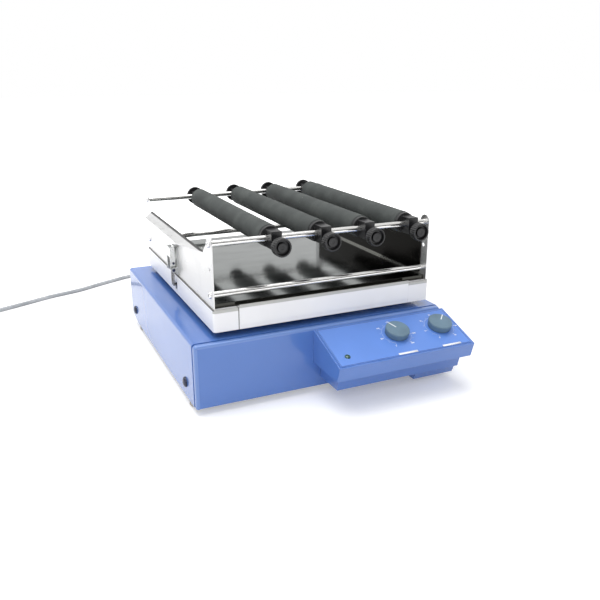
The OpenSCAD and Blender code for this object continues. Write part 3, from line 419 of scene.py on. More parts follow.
def pan_steel(floor_z, front_y):
    """Mirror-bright pan: a grey floor with smears and dried drops, side walls painted near-black as a
    painted dark reflection with a painted highlight along the fold at their foot, and a folded front edge
    painted dark as a painted dark reflection."""
    f = Finish("pan_steel", Metallic=1.0)
    # edge is both a painted highlight along the walls' fold and the pale colour of dried drops; wall and
    # front are painted dark reflections.
    floor, wall, edge = (0.205, 0.220, 0.216), (0.018, 0.016, 0.014), (0.40, 0.39, 0.36)
    front = (0.05, 0.05, 0.045)
    fold_low, fold_high, fade = 0.1 * MM, 2.6 * MM, 0.3 * MM
    lip, lip_fade = 1.6 * MM, 0.4 * MM
    height = f.along("Z")
    smear = f.noise(16, 5, (1.0, 2.2, 1.0))
    drops = f.specks(70, 0.14)
    tone = f.mix(f.span(smear, 0.4, 0.7), floor, shade(floor, 0.86))
    # Painted highlight: a pale line along the fold at the side walls' foot.
    tone = f.mix(f.span(height, floor_z + fold_low, floor_z + fold_low + fade), tone, edge)
    # Painted dark reflection: the side walls near-black.
    tone = f.mix(f.span(height, floor_z + fold_high, floor_z + fold_high + fade), tone, wall)
    # Painted dark reflection: the folded front edge dark.
    tone = f.mix(f.span(f.along("Y"), front_y + lip, front_y + lip - lip_fade), tone, front)
    f.feed("Base Color", f.mix(f.math("MULTIPLY", drops, f.span(smear, 0.5, 0.7, 0, 0.3)), tone, edge))
    dull = f.math("ADD", smear, f.math("MULTIPLY", drops, 0.2))
    f.feed("Roughness", f.span(dull, 0.35, 0.85, 0.08, 0.16))
    f.relief(f.noise(7, 2), 1.0e-4)
    return f


def plastic(name, colour, rough, grain=900, depth=1e-5):
    """Moulded plastic: spark-eroded grain, faint flow marks and an uneven polish."""
    f = Finish(name)
    flow = f.noise(35, 4)
    f.feed("Base Color", f.tones(flow, shade(colour, 0.85), colour, shade(colour, 1.18)))
    f.feed("Roughness", f.spread(f.noise(80, 3), rough - 0.08, rough + 0.08))
    f.relief(f.noise(grain, 3), depth)
    return f


def sleeve_rubber():
    """Foam rubber: dull dark grey with a green cast, open pores, paler rubbed patches and a few light
    specks."""
    f = Finish("sleeve_rubber")
    dark, mid, rubbed = srgb(52, 55, 54), srgb(64, 68, 67), srgb(81, 85, 83)
    patches = f.noise(26, 6)
    pores = f.noise(1500, 3)
    tone = f.tones(patches, dark, mid, rubbed)
    tone = f.mix(f.span(pores, 0.35, 0.5, 0.3, 0), tone, srgb(36, 39, 39))
    scarce = f.span(f.noise(30, 1), 0.62, 0.64)
    f.feed("Base Color", f.mix(f.math("MULTIPLY", f.specks(120, 0.10), scarce), tone, srgb(140, 142, 138)))
    f.feed("Roughness", f.spread(patches, 0.78, 0.95))
    f.relief(pores, 6e-5)
    f.relief(f.noise(120, 4), 1.5e-4)
    return f


def cord_jacket():
    """Cord sheath: mid grey with scuffs in tone and gloss and a fine grain."""
    f = Finish("cord_jacket")
    scuff = f.noise(70, 5)
    f.feed("Base Color", f.tones(scuff, srgb(148, 152, 156), srgb(164, 167, 171), srgb(177, 180, 183)))
    f.feed("Roughness", f.spread(scuff, 0.42, 0.6))
    f.relief(f.noise(800, 2), 1.5e-5)
    return f


def lens_green():
    """Dark green lamp lens with moulded facets, clear-coated."""
    f = Finish("lens_green", Coat_Weight=0.6, Coat_Roughness=0.04)
    f.feed("Base Color", f.tones(f.noise(500), srgb(12, 58, 50), srgb(24, 84, 74)))
    f.feed("Roughness", f.spread(f.noise(300), 0.12, 0.2))
    f.relief(f.add("ShaderNodeTexVoronoi", {"Vector": f.place, "Scale": 900.0}).outputs[0], 8e-5)
    return f


def circuit_board(name, top_z):
    """Green solder mask with traces on the board, and dark moulded components above it."""
    f = Finish(name)
    traces = f.add("ShaderNodeTexBrick", {"Vector": f.place, "Scale": 120.0, "Mortar Size": 0.03})
    mask = f.mix(traces.outputs["Fac"], srgb(20, 92, 58), srgb(60, 140, 84))
    f.feed("Base Color", f.mix(f.span(f.along("Z"), top_z, top_z + 0.3 * MM), mask, srgb(28, 29, 32)))
    f.feed("Roughness", f.spread(f.noise(200), 0.3, 0.45))
    f.relief(traces.outputs["Fac"], 2e-5)
    return f


def ink(name, colour):
    """Screen-printed ink: slightly thin and uneven, matt."""
    f = Finish(name)
    f.feed("Base Color", f.tones(f.noise(1200, 4), shade(colour, 0.9), colour))
    f.feed("Roughness", f.spread(f.noise(900), 0.45, 0.6))
    f.relief(f.noise(3000, 2), 4e-6)
    return f


# Places of the folds, joints and boards that the finishes draw
PAN_LOW, PAN_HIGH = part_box("holder_pan")
ROD_LOW, ROD_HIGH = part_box("cross_rods")
TABLE_LOW, TABLE_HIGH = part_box("shaking_table")
TABLE_TOP = PAN_LOW[2]
PAN_RAISE = 6.2 * MM
PAN_FLOOR = PAN_LOW[2] + PAN_RAISE
FLANGE_HALF = 125 * MM
LIP_RISE = 3 * MM
LIP_INSET = 31 * MM
LIP_FOLD = PAN_HIGH[2] + LIP_RISE
LIP_FRONT = ROD_LOW[1] + LIP_INSET
LIP_BACK = ROD_HIGH[1] - LIP_INSET
BOARD_RAISE = 11.8 * MM
BOARD_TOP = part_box("power_board")[0][2] + BOARD_RAISE
# A height over the whole object, for a board whose components aren't drawn
ABOVE_ALL = 1.0

BLUE = (0.079, 0.184, 0.520)
RIM_BLUE_LIT = (0.130, 0.240, 0.560)
FILM_BLUE = (0.108, 0.242, 0.665)
BLUE_ROUGH = 0.22
BLUE_COAT = 0.5

blue_paint = paint("blue_paint", BLUE, BLUE_ROUGH, coat=BLUE_COAT)
# The rim's paint is the body blue made paler, a painted highlight on the cover's rounded border.
rim_highlight_paint = paint("rim_highlight_paint", RIM_BLUE_LIT, BLUE_ROUGH, coat=BLUE_COAT)
blue_film = film("blue_film", FILM_BLUE)
white_paint = table_paint(TABLE_LOW, TABLE_HIGH)
plate_steel = plate_finish()
pan_finish = pan_steel(PAN_FLOOR, PAN_LOW[1])
rod_chrome = brushed("rod_chrome", (0.74, 0.735, 0.72), 0.16, (0.1, 6.0, 6.0), 1e-7)
# The latch bases' zinc is painted darker than the levers' as painted shade.
latch_base = brushed("latch_base", (0.48, 0.49, 0.48), 0.30, (6.0, 1.0, 1.0))
latch_zinc = brushed("latch_zinc", (0.72, 0.73, 0.72), 0.26, (6.0, 1.0, 1.0))
bail_wire = brushed("bail_wire", (0.22, 0.22, 0.22), 0.22, (6.0, 6.0, 1.0))
zinc_sheet = brushed("zinc_sheet", (0.60, 0.61, 0.63), 0.38, (1.0, 8.0, 1.0))
cast_alloy = brushed("cast_alloy", (0.62, 0.63, 0.65), 0.42, (2.0, 2.0, 2.0), 2e-5)
ground_steel = brushed("ground_steel", (0.74, 0.74, 0.75), 0.18, (12.0, 1.0, 12.0))
clamp_black = plastic("clamp_black", srgb(22, 22, 24), 0.40)
screw_black = plastic("screw_black", srgb(26, 34, 62), 0.16, 400, 2e-6)
dial_grey = plastic("dial_grey", (0.108, 0.182, 0.245), 0.55, 1400)
foot_rubber = plastic("foot_rubber", srgb(172, 165, 154), 0.75, 700, 3e-5)
plug_black = plastic("plug_black", srgb(38, 39, 41), 0.5, 1100, 1.5e-5)
motor_paint = paint("motor_paint", srgb(84, 86, 90), 0.4)
belt_rubber = plastic("belt_rubber", srgb(28, 28, 28), 0.8, 600, 4e-5)
white_ink = ink("white_ink", (0.92, 0.93, 0.95))
# Dark ink for the painted shade of the gap round the fascia.
gap_shade_ink = ink("gap_shade_ink", srgb(38, 60, 124))
rubber_sleeve = sleeve_rubber()
grey_cord = cord_jacket()

NODE_FINISHES = {
    "base_housing": blue_paint, "front_cover": blue_paint, "rear_panel": blue_paint,
    "control_housing": blue_paint, "control_fascia": blue_film, "bottom_plate": zinc_sheet,
    "feet": foot_rubber, "case_screws": screw_black, "speed_shaft": ground_steel,
    "timer_shaft": ground_steel, "potentiometers": cast_alloy, "pilot_lamp": lens_green(),
    "control_board": circuit_board("dial_board", ABOVE_ALL),
    "power_board": circuit_board("power_board", BOARD_TOP),
    "power_switch": clamp_black, "switch_frame": clamp_black, "motor": motor_paint,
    "motor_bracket": zinc_sheet, "motor_pulley": cast_alloy, "drive_belt": belt_rubber,
    "crank_pulley": cast_alloy, "crank_shaft": ground_steel, "crank_bearings": ground_steel,
    "bearing_bridge": cast_alloy, "connecting_rod": cast_alloy, "guide_rods": ground_steel,
    "guide_blocks": cast_alloy, "carriage": cast_alloy, "linear_bushes": ground_steel,
    "table_posts": ground_steel, "shaking_table": white_paint, "left_plate": plate_steel,
    "right_plate": plate_steel, "holder_pan": pan_finish, "cross_rods": rod_chrome,
    "latch_bases": latch_base, "left_latch_lever": latch_zinc, "right_latch_lever": latch_zinc,
    "left_latch_bail": bail_wire, "right_latch_bail": bail_wire,
    **{f"roller_{k}_core": clamp_black for k in ROLLERS},
}
for node, node_finish in NODE_FINISHES.items():
    NODES[node].material_slots[0].material = node_finish.material


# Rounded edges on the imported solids

def joined_group():
    """Modifier group that joins loose triangles and keeps edges over 30 degrees crisp."""
    group = bpy.data.node_groups.new("joined_edges", "GeometryNodeTree")
    for way in ("INPUT", "OUTPUT"):
        group.interface.new_socket("Geometry", in_out=way, socket_type="NodeSocketGeometry")
    start = group.nodes.new("NodeGroupInput")
    end = group.nodes.new("NodeGroupOutput")
    merge = group.nodes.new("GeometryNodeMergeByDistance")
    merge.inputs["Distance"].default_value = MERGE_NEAR
    turn = group.nodes.new("GeometryNodeInputMeshEdgeAngle")
    over = group.nodes.new("FunctionNodeCompare")
    over.operation = "GREATER_THAN"
    over.inputs[1].default_value = np.radians(30)
    normal = group.nodes.new("GeometryNodeSetMeshNormal")
    normal.mode = "SHARPNESS"
    normal.inputs["Remove Custom"].default_value = True
    group.links.new(start.outputs[0], merge.inputs["Geometry"])
    group.links.new(merge.outputs[0], normal.inputs["Mesh"])
    group.links.new(turn.outputs["Unsigned Angle"], over.inputs[0])
    group.links.new(over.outputs[0], normal.inputs["Edge Sharpness"])
    group.links.new(normal.outputs[0], end.inputs[0])
    return group


JOINED = joined_group()


def soften(node, width, clamp):
    """Live modifiers that join a solid's triangles, merge its flat faces and round its edges; the clamp
    narrows the rounding where edges lie close together."""
    NODES[node].modifiers.new("join", "NODES").node_group = JOINED
    flats = NODES[node].modifiers.new("flats", "DECIMATE")
    flats.decimate_type = "DISSOLVE"
    flats.angle_limit = np.radians(0.4)
    edges = NODES[node].modifiers.new("edges", "BEVEL")
    edges.width = width
    edges.segments = 3
    edges.limit_method = "ANGLE"
    edges.angle_limit = np.radians(35)
    edges.harden_normals = True
    edges.use_clamp_overlap = clamp


EDGE_WIDTHS = {
    "base_housing": 0.5 * MM, "control_fascia": 0.2 * MM, "shaking_table": 0.9 * MM,
    "holder_pan": 0.3 * MM, "left_plate": 0.3 * MM, "right_plate": 0.3 * MM, "latch_bases": 0.25 * MM,
    "left_latch_lever": 0.25 * MM, "right_latch_lever": 0.25 * MM, "switch_frame": 0.4 * MM,
    "power_switch": 0.4 * MM,
}
for node, width in EDGE_WIDTHS.items():
    soften(node, width, clamp=True)

# On these nodes the clamp would narrow the rounding to almost nothing, and their widths fit without it.
FREE_WIDTHS = {
    "front_cover": 0.3 * MM, "control_housing": 0.5 * MM,
    **{f"roller_{k}_core": 0.4 * MM for k in ROLLERS},
}
for node, width in FREE_WIDTHS.items():
    soften(node, width, clamp=False)


# Rim of the front cover

def make_cover_rim():
    """Rounded border of the front cover: a section of a flat side, a quarter of an ellipse and a flat
    front, swept up the left side, round two quarter circles at the top corners and down the right side."""
    (_, seam_y, _), (side_x, _, top_z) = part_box("base_housing")
    _, front_y, low_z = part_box("front_cover")[0]
    shy, seam, proud = 0.7 * MM, 2.2 * MM, 0.05 * MM
    corner, reach, round_in, round_back = 4.6 * MM, 4.4 * MM, 2.6 * MM, 3.6 * MM
    quarter = np.linspace(0, np.pi / 2, 11)
    inward = np.concatenate([[reach, 0], round_in * (1 - np.cos(quarter)), [reach]])
    face_y = front_y - proud
    y = np.concatenate([[seam_y - seam] * 2, face_y + round_back * (1 - np.sin(quarter)), [face_y]])
    heading = np.concatenate([[np.pi], np.pi - quarter, np.pi / 2 - quarter, [0]])
    way = np.stack([np.cos(heading), np.sin(heading)], -1)
    middle_x, middle_z = side_x - shy - corner, top_z - shy - corner
    side = np.where(heading > np.pi / 2, -middle_x, middle_x)
    middle = np.stack([side, np.full(heading.shape, middle_z)], -1)
    middle[len(quarter), 0] = -middle_x
    middle[[0, -1], 1] = low_z
    flat = middle[:, None] + (corner - inward)[None, :, None] * way[:, None]
    rows = np.stack([flat[..., 0], np.broadcast_to(y, flat.shape[:2]), flat[..., 1]], -1)
    ends = np.broadcast_to(rows.mean(1)[:, None], rows.shape)
    rim = grid(np.concatenate([ends[:1], rows, ends[-1:]]))
    build("cover_rim", [rim], rim_highlight_paint, "base", 50)


make_cover_rim()


# Cord, its plug, tie and strain relief

def make_plug():
    """Moulded plug: superellipse sections along its heading, from a round neck to a flat-sided body, and
    two round pins with rounded tips."""
    way = ground(PLUG_HEADING)
    across = ground(PLUG_HEADING + 90)
    t = np.array([0, 0, 2, 6, 10, 13, 17, 22, 28, 36, 43, 45.2, 46, 46]) * MM
    wide = np.array([0, 4.6, 5.0, 5.4, 6.6, 9.0, 12.6, 15.4, 16.6, 17, 17, 16.4, 15.0, 0]) * MM
    tall = np.array([0, 4.6, 5.0, 5.4, 6.2, 7.8, 9.8, 11.4, 12.4, 12.8, 12.8, 12.3, 11.0, 0]) * MM
    square = np.array([2, 2, 2, 2, 2, 2.2, 2.6, 3, 3.4, 3.6, 3.6, 3.6, 3.6, 3.6])[:, None]
    angle = np.linspace(0, 2 * np.pi, 56, endpoint=False)[None]
    side = np.sign(np.cos(angle)) * np.abs(np.cos(angle)) ** (2 / square) * wide[:, None]
    rise = np.sign(np.sin(angle)) * np.abs(np.sin(angle)) ** (2 / square) * tall[:, None]
    body = place(np.stack([side, rise, t[:, None] + 0 * angle], -1), PLUG_AT, across, Z_AXIS, way)
    plug = build("plug_body", [grid(body)], plug_black, "base")
    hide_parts("mains_plug")
    pin_r, pin_l, pin_pitch = 2.4 * MM, 19 * MM, 19 * MM
    pin_tip, sunk = 1.6 * MM, 1 * MM
    pin = lathe(rounded([(0, -sunk), (pin_r, -sunk), (pin_r, pin_l), (0, pin_l)], (0, pin_tip)), 24)
    face = PLUG_AT + t[-1] * way
    pins = [grid(place(pin, face + side * pin_pitch / 2 * across, across, Z_AXIS, way)) for side in (-1, 1)]
    pins = build("plug_pins", pins, ground_steel, "base")
    return [plug, pins]


def make_tie():
    """Strap round one side of the coil: a flat section with cut corners, carried round a rounded box."""
    _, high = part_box("cord_tie")
    half, wide, corner = 0.5 * MM, 6 * MM, 3.2 * MM
    flat, edge = half - 0.3 * MM, wide - 0.4 * MM
    slack_in, slack_out = 1.7 * MM, 1.5 * MM
    way = ground(COIL_HEADING)
    across = ground(COIL_HEADING + 90)
    inner = COIL_R - COIL_TURNS * COIL_PITCH - CORD_D / 2 - slack_in
    outer = COIL_R + CORD_D / 2 + slack_out
    top = high[2] - half
    loop = np.array([(inner, half), (outer, half), (outer, top), (inner, top)])
    ends = (loop[:1] + loop[-1:]) / 2
    line = rounded(np.vstack([ends, loop, ends]), [corner] * 4, 6)[:-1]
    middle = line.mean(0)
    tangent = np.roll(line, -1, 0) - np.roll(line, 1, 0)
    normal = np.stack([tangent[:, 1], -tangent[:, 0]], -1) / np.linalg.norm(tangent, axis=1)[:, None]
    normal *= np.sign(((line - middle) * normal).sum(1).mean())
    section = np.array([(-half, -edge), (-half, edge), (-flat, wide), (flat, wide), (half, edge),
                        (half, -edge), (flat, -wide), (-flat, -wide)])
    out = line[:, None] + section[None, :, :1] * normal[:, None]
    spread = np.stack([out[..., 0], 0 * out[..., 0] + section[None, :, 1], out[..., 1]], -1)
    centre = coil_centre() * (1, 1, 0)
    tie = grid(place(spread, centre, -way, -across, Z_AXIS), close_rows=True)
    tie = build("coil_tie", [tie], belt_rubber, "base")
    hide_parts("cord_tie")
    return tie


def make_relief():
    """Strain relief: a flanged boot turned about the cord, tapering to it, with grooves between soft ribs.
    Its profile is in millimetres."""
    _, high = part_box("cord_relief")
    length, first, ribs, pitch, rib_l = 32, 6, 6, 4, 2.4
    widest, taper = 6.1, 0.34
    seat = np.array([CORD_ROUTE[0][0], high[1] - length * MM, CORD_ROUTE[0][2]])
    neck = [(0, -10), (6.5, -10), (6.5, 0), (10, 0), (10, 4), (6.6, 4)]
    profile = [rounded(neck, (0, 0, 0.4, 0.8))]
    for rib in range(ribs):
        start = first + pitch * rib
        end = start + rib_l
        radius = widest - taper * rib
        profile.append(rounded([(radius - 1.1, start), (radius, start), (radius - 0.12, end),
                                (radius - 1.2, end)], (0.5, 0.5), 3))
    profile.append(rounded([(4.6, length - 2), (4.5, length), (0, length)], (0.5,)))
    boot = lathe(np.vstack(profile) * MM, 40)
    relief = build("cord_boot", [grid(place(boot, seat, X_AXIS, -Z_AXIS, Y_AXIS))], plug_black, "base")
    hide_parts("cord_relief")
    return relief


def make_cord():
    """The mains cord on one open line: out of the boot, down to the floor, round the back and into its
    coil."""
    line = np.vstack([CORD_ROUTE, coil_line(), [PLUG_AT]])
    data = bezier_curve("mains_lead", line, Y_AXIS, ground(PLUG_HEADING), CORD_D / 2)
    cord = settle(bpy.data.objects.new("mains_lead", data), grey_cord, "base")
    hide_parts("mains_cord", "cord_coil")
    on_it = [*make_plug(), make_tie(), make_relief()]


set_camera()
make_cord()


# Rollers

def sleeve_reach(seed):
    """Radius of a foam sleeve: a little uneven, as cut foam is, by three waves, each a sine along it times
    a cosine round it."""
    phases = np.random.default_rng(seed).uniform(0, 2 * np.pi, 6).reshape(3, 2)
    rates, folds, run = (23, 41, 9), (1, 2, 3), 0.3
    core, wall = 12 * MM, 2 * MM
    swing, sag = 0.07 * MM, 0.12 * MM

    def reach(radius, height, angle):
        outside = np.clip((radius - core) / wall, 0, 1)
        wave = sum(np.sin(rate * height / run + start) * np.cos(fold * angle + turn)
                   for rate, fold, (start, turn) in zip(rates, folds, phases))
        return radius + outside * (swing * wave - sag)
    return reach


def make_sleeve(k):
    """Foam sleeve: a closed turned tube with rounded ends and an uneven skin."""
    low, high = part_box(f"roller_{k}_sleeve")
    outer, inner, length = 15 * MM, 11.05 * MM, high[1] - low[1]
    end, mouth_r, rings = 1.4 * MM, 0.4 * MM, 120
    mouth = rounded([(inner, length / 2), (inner, 0), (outer, 0), (outer, end * 2)], (mouth_r, end))
    side = np.stack([np.full(rings, outer), np.linspace(end * 2, length - end * 2, rings)], -1)
    back = rounded([(outer, length - end * 2), (outer, length), (inner, length), (inner, length / 2)],
                   (end, mouth_r))
    tube = lathe(np.vstack([mouth, side, back]), 64, sleeve_reach(k))
    origin = ((low[0] + high[0]) / 2, low[1], (low[2] + high[2]) / 2)
    sleeve = build(f"roller_{k}_foam", [grid(place(tube, origin, X_AXIS, -Z_AXIS, Y_AXIS))],
                   rubber_sleeve, f"roller_{k}")
    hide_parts(f"roller_{k}_sleeve")


def clamp_reach(radius, _height, angle):
    """Radius of the clamp knob: twenty-four shallow flutes pressed into its outer wall."""
    flutes, deep = 24, 0.6 * MM
    face_r, wall = 10.4 * MM, 1.2 * MM
    outside = np.clip((radius - face_r) / wall, 0, 1)
    flute = np.clip(np.cos(flutes * angle), 0, 1) ** 2
    return radius - outside * flute * deep


def make_clamp_knob(k):
    """Clamp knob with its screw: a fluted grip whose hollow face holds a round boss."""
    joint = JOINTS[f"clamp_{k}_turn"]
    corners = [(0, -18.5), (3, -18.5), (3, -8.7), (6, -8.7), (6, 0), (12, 0), (12, 11), (9.6, 11), (9.1, 6),
               (6.3, 6), (6.1, 9.8), (2.2, 9.8), (1.9, 9.4), (0, 9.4)]
    radii = [0.4, 0, 0.3, 0, 1.0, 1.3, 0.4, 0.6, 0.5, 0.6, 0.15, 0.1]
    profile = rounded(np.array(corners) * MM, np.array(radii) * MM, 4)
    knob = place(lathe(profile, 144, clamp_reach), joint["pos_m"], X_AXIS, Z_AXIS, -Y_AXIS)
    knob = build(f"clamp_{k}_grip", [grid(knob)], clamp_black, f"clamp_{k}", 50)
    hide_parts(f"roller_{k}_knob")


for k in ROLLERS:
    make_sleeve(k)
    make_clamp_knob(k)


# Screws and rivets of the holder

ROD_R = 4 * MM
HINGE_OUT = 7 * MM
HEX_KEY = 3 * MM


def hex_reach(radius, height, angle):
    """Radius of a turned screw whose socket, inside 2 mm, is a hexagon of the key's width across flats."""
    socket_r, socket_z = 2.05 * MM, 1.2 * MM
    hexagon = HEX_KEY / 2 / np.cos((angle + np.pi / 6) % (np.pi / 3) - np.pi / 6)
    return np.where((radius > 0) & (height > socket_z) & (radius < socket_r), hexagon, radius)


def make_rod_screws():
    """Button-head screws in the rods' ends: a domed turned head with a hexagon socket."""
    outside = [(0, -11.5), (2.4, -11.5), (2.4, 0), (4.5, 0), (4.5, 0.9), (4.2, 1.9), (3.2, 2.8), (2.4, 3.0)]
    socket = [(2.0, 3.0), (1.9, 2.8), (1.9, 1.4), (0, 1.25)]
    profile = np.vstack([rounded(outside, (0.3, 0, 0.2, 0.3, 1.2, 0.8), 4), socket]) * MM
    head = lathe(profile, 48, hex_reach)
    surfaces = []
    for side, way in (("left", -1), ("right", 1)):
        face = JOINTS[f"{side}_lever_swing"]["pos_m"][0] - way * HINGE_OUT
        for y in (ROD_LOW[1] + ROD_R, ROD_HIGH[1] - ROD_R):
            for z in (ROD_LOW[2] + ROD_R, ROD_HIGH[2] - ROD_R):
                surfaces.append(grid(place(head, (face, y, z), Y_AXIS, Z_AXIS, way * X_AXIS)))
    screws = build("rod_end_screws", surfaces, ground_steel, "table", 30)
    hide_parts("rod_screws")


def make_latch_rivets():
    """Dark rivet heads on the latches: low turned domes over the ears' pivots, and smaller ones over the
    bails' ends on the levers."""
    dome = [(0, -0.2), (2.3, -0.2), (2.3, 0.3), (1.4, 1.0), (0, 1.1)]
    dome = lathe(rounded(dome, (0.1, 0.3, 0.8)) * MM, 28)
    cap = [(0, -0.2), (1.9, -0.2), (1.9, 0.4), (0, 0.8)]
    cap = lathe(rounded(cap, (0.1, 0.3)) * MM, 24)
    ear_out, bail_out = 13.5 * MM, 9.6 * MM
    pivots = []
    for side in ("left", "right"):
        swing = np.array(JOINTS[f"{side}_lever_swing"]["pos_m"])
        bail = np.array(JOINTS[f"{side}_bail_swing"]["pos_m"])
        ends = []
        for out in (-Y_AXIS, Y_AXIS):
            pivots.append(grid(place(dome, swing + ear_out * out, X_AXIS, Z_AXIS, out)))
            ends.append(grid(place(cap, bail + bail_out * out, X_AXIS, Z_AXIS, out)))
        build(f"{side}_bail_caps", ends, screw_black, f"{side}_lever")
    build("latch_rivets", pivots, screw_black, "table")


make_rod_screws()
make_latch_rivets()


# Control knobs and the print round them

SLOPE_OUT = np.array(JOINTS["speed_turn"]["axis"])
SLOPE_UP = np.cross(SLOPE_OUT, X_AXIS)
FASCIA_TOP = 0.5 * MM
INK_LIFT = 0.03 * MM
INK_THICK = 0.05 * MM
KNOB_SEAT = 1.0 * MM
DIALS = {
    "speed": {"pointer": 27, "marks": ["0", "50", "100", "150", "200", "250", "300"]},
    "timer": {"pointer": -43, "marks": ["0", "10", "20", "30", "40", "50", "60"]},
}
DIAL_SWEEP = 150
ARC_R = 20.3 * MM
ARC_HALF = 0.09 * MM
DOT_AT = 22.4 * MM
DOT_R = 0.55 * MM
NUMBER_AT = 25.5 * MM
NUMBER_TALL = 3.2 * MM
STRIP_LINE = np.array([(-18, -38), (-3, -38), (11, -38)]) * MM
STRIP_HALF = 1.7 * MM
BORDER_IN = 1.2 * MM
BORDER_HALF = 0.25 * MM


def make_control_knob(name, pointer):
    """Dial knob: a turned disc a little wider at its top, with a soft shoulder, and a white line let into
    its top from near the middle to the rim."""
    origin = JOINTS[f"{name}_turn"]["pos_m"]
    turn = np.radians(pointer)
    right = np.cos(turn) * X_AXIS + np.sin(turn) * SLOPE_UP
    up = np.cos(turn) * SLOPE_UP - np.sin(turn) * X_AXIS
    base = np.asarray(origin) + KNOB_SEAT * SLOPE_OUT
    corners = [(0, 0), (15.4, 0), (15.9, 0.9), (16.5, 8.0), (15.6, 9.3), (0, 9.5)]
    body = lathe(rounded(np.array(corners) * MM, np.array([0.2, 0.4, 0.6, 1.0]) * MM, 5), 96)
    knob = build(f"{name}_dial", [grid(place(body, base, right, up, SLOPE_OUT))], dial_grey,
                 f"{name}_dial", 60)
    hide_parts(f"{name}_knob")
    steps = 12
    line = np.linspace(3.0, 15.2, steps) * MM
    width = np.array([-0.6, 0.6, 0.6, -0.6]) * MM
    rise = np.array([8.8, 8.8, 9.55, 9.55]) * MM
    bar = np.stack([np.tile(width, (steps, 1)), np.tile(line[:, None], (1, 4)),
                    np.tile(rise, (steps, 1))], -1)
    bar = np.vstack([bar[:1] * (0, 1, 1), bar, bar[-1:] * (0, 1, 1)])
    build(f"{name}_pointer", [grid(place(bar, base, right, up, SLOPE_OUT))], white_ink, f"{name}_dial",
          30)


def flat_strip(line, half):
    """A flat band of a half width along a line of points (x, y) in the fascia's plane."""
    tangent = np.gradient(line, axis=0)
    normal = np.stack([-tangent[:, 1], tangent[:, 0]], -1) / np.linalg.norm(tangent, axis=1)[:, None]
    band = np.stack([line - half * normal, line + half * normal], 1)
    return grid(np.dstack([band, np.zeros(band.shape[:2])]), close_cols=False)


def dial_point(angle, radius):
    """Point of a dial at an angle anticlockwise from upslope."""
    return np.array([-np.sin(np.radians(angle)), np.cos(np.radians(angle))]) * radius


def lettering(text, height, centre):
    """Flat faces of a short text, centred on a point of its own plane, from a text curve made a mesh."""
    curve = bpy.data.curves.new("digits", "FONT")
    curve.body, curve.size, curve.align_x, curve.align_y = text, height, "CENTER", "CENTER"
    curve.offset = 0.03 * height
    curve.resolution_u = 3
    obj = bpy.data.objects.new("digits", curve)
    bpy.context.scene.collection.objects.link(obj)
    mesh = bpy.data.meshes.new_from_object(obj.evaluated_get(bpy.context.evaluated_depsgraph_get()))
    bpy.data.objects.remove(obj)
    mesh.calc_loop_triangles()
    points = np.empty(len(mesh.vertices) * 3)
    mesh.vertices.foreach_get("co", points)
    faces = np.empty(len(mesh.loop_triangles) * 3, int)
    mesh.loop_triangles.foreach_get("vertices", faces)
    return points.reshape(-1, 3) + (*centre, 0), faces.reshape(-1, 3)


def print_on(name, flat, finish, body):
    """Ink of a small thickness from flat faces."""
    skin = build(name, flat, finish, body).modifiers.new("ink", "SOLIDIFY")
    skin.thickness = INK_THICK
    skin.offset = 0


def on_slope(flat, seat):
    """Flat faces laid on the fascia's slope about a seat."""
    return [(place(points, seat, X_AXIS, SLOPE_UP, SLOPE_OUT), faces) for points, faces in flat]


def make_dial_print(name, marks):
    """Print round one dial: numbers, dots at and between them, an arc round the knob and a strip below."""
    origin = np.asarray(JOINTS[f"{name}_turn"]["pos_m"])
    angles = np.linspace(DIAL_SWEEP, -DIAL_SWEEP, len(marks))
    flat = [lettering(mark, NUMBER_TALL, dial_point(a, NUMBER_AT)) for mark, a in zip(marks, angles)]
    disc = np.linspace(0, 2 * np.pi, 16, endpoint=False)
    ring = np.stack([np.cos(disc), np.sin(disc), 0 * disc], -1)
    dot = np.stack([0 * ring, DOT_R * ring])
    flat += [grid(dot + (*dial_point(a, DOT_AT), 0)) for a in angles]
    flat += [grid(0.7 * dot + (*dial_point(a, DOT_AT), 0)) for a in (angles[1:] + angles[:-1]) / 2]
    sweep = np.linspace(angles[0], angles[-1], 97)
    flat.append(flat_strip(np.array([dial_point(a, ARC_R) for a in sweep]), ARC_HALF))
    flat.append(flat_strip(STRIP_LINE, STRIP_HALF))
    seat = origin + (FASCIA_TOP + INK_LIFT) * SLOPE_OUT
    print_on(f"{name}_print", on_slope(flat, seat), white_ink, "base")


def make_fascia_border():
    """Dark line of painted shade for the gap just inside the fascia's edge: four flat bands between a
    rectangle's corners.
    """
    low, high = (np.asarray(corner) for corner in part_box("control_fascia"))
    x = (high[0] - low[0]) / 2 - BORDER_IN
    y = (high[1] - low[1]) / 2 / SLOPE_UP[1] - BORDER_IN
    corners = np.array([(-x, -y), (x, -y), (x, y), (-x, y), (-x, -y)])
    flat = [flat_strip(corners[i:i + 2], BORDER_HALF) for i in range(4)]
    middle = (low + high) / 2
    rise = (np.asarray(JOINTS["speed_turn"]["pos_m"]) - middle) @ SLOPE_OUT + FASCIA_TOP + INK_LIFT
    seat = middle + rise * SLOPE_OUT
    print_on("fascia_border", on_slope(flat, seat), gap_shade_ink, "base")


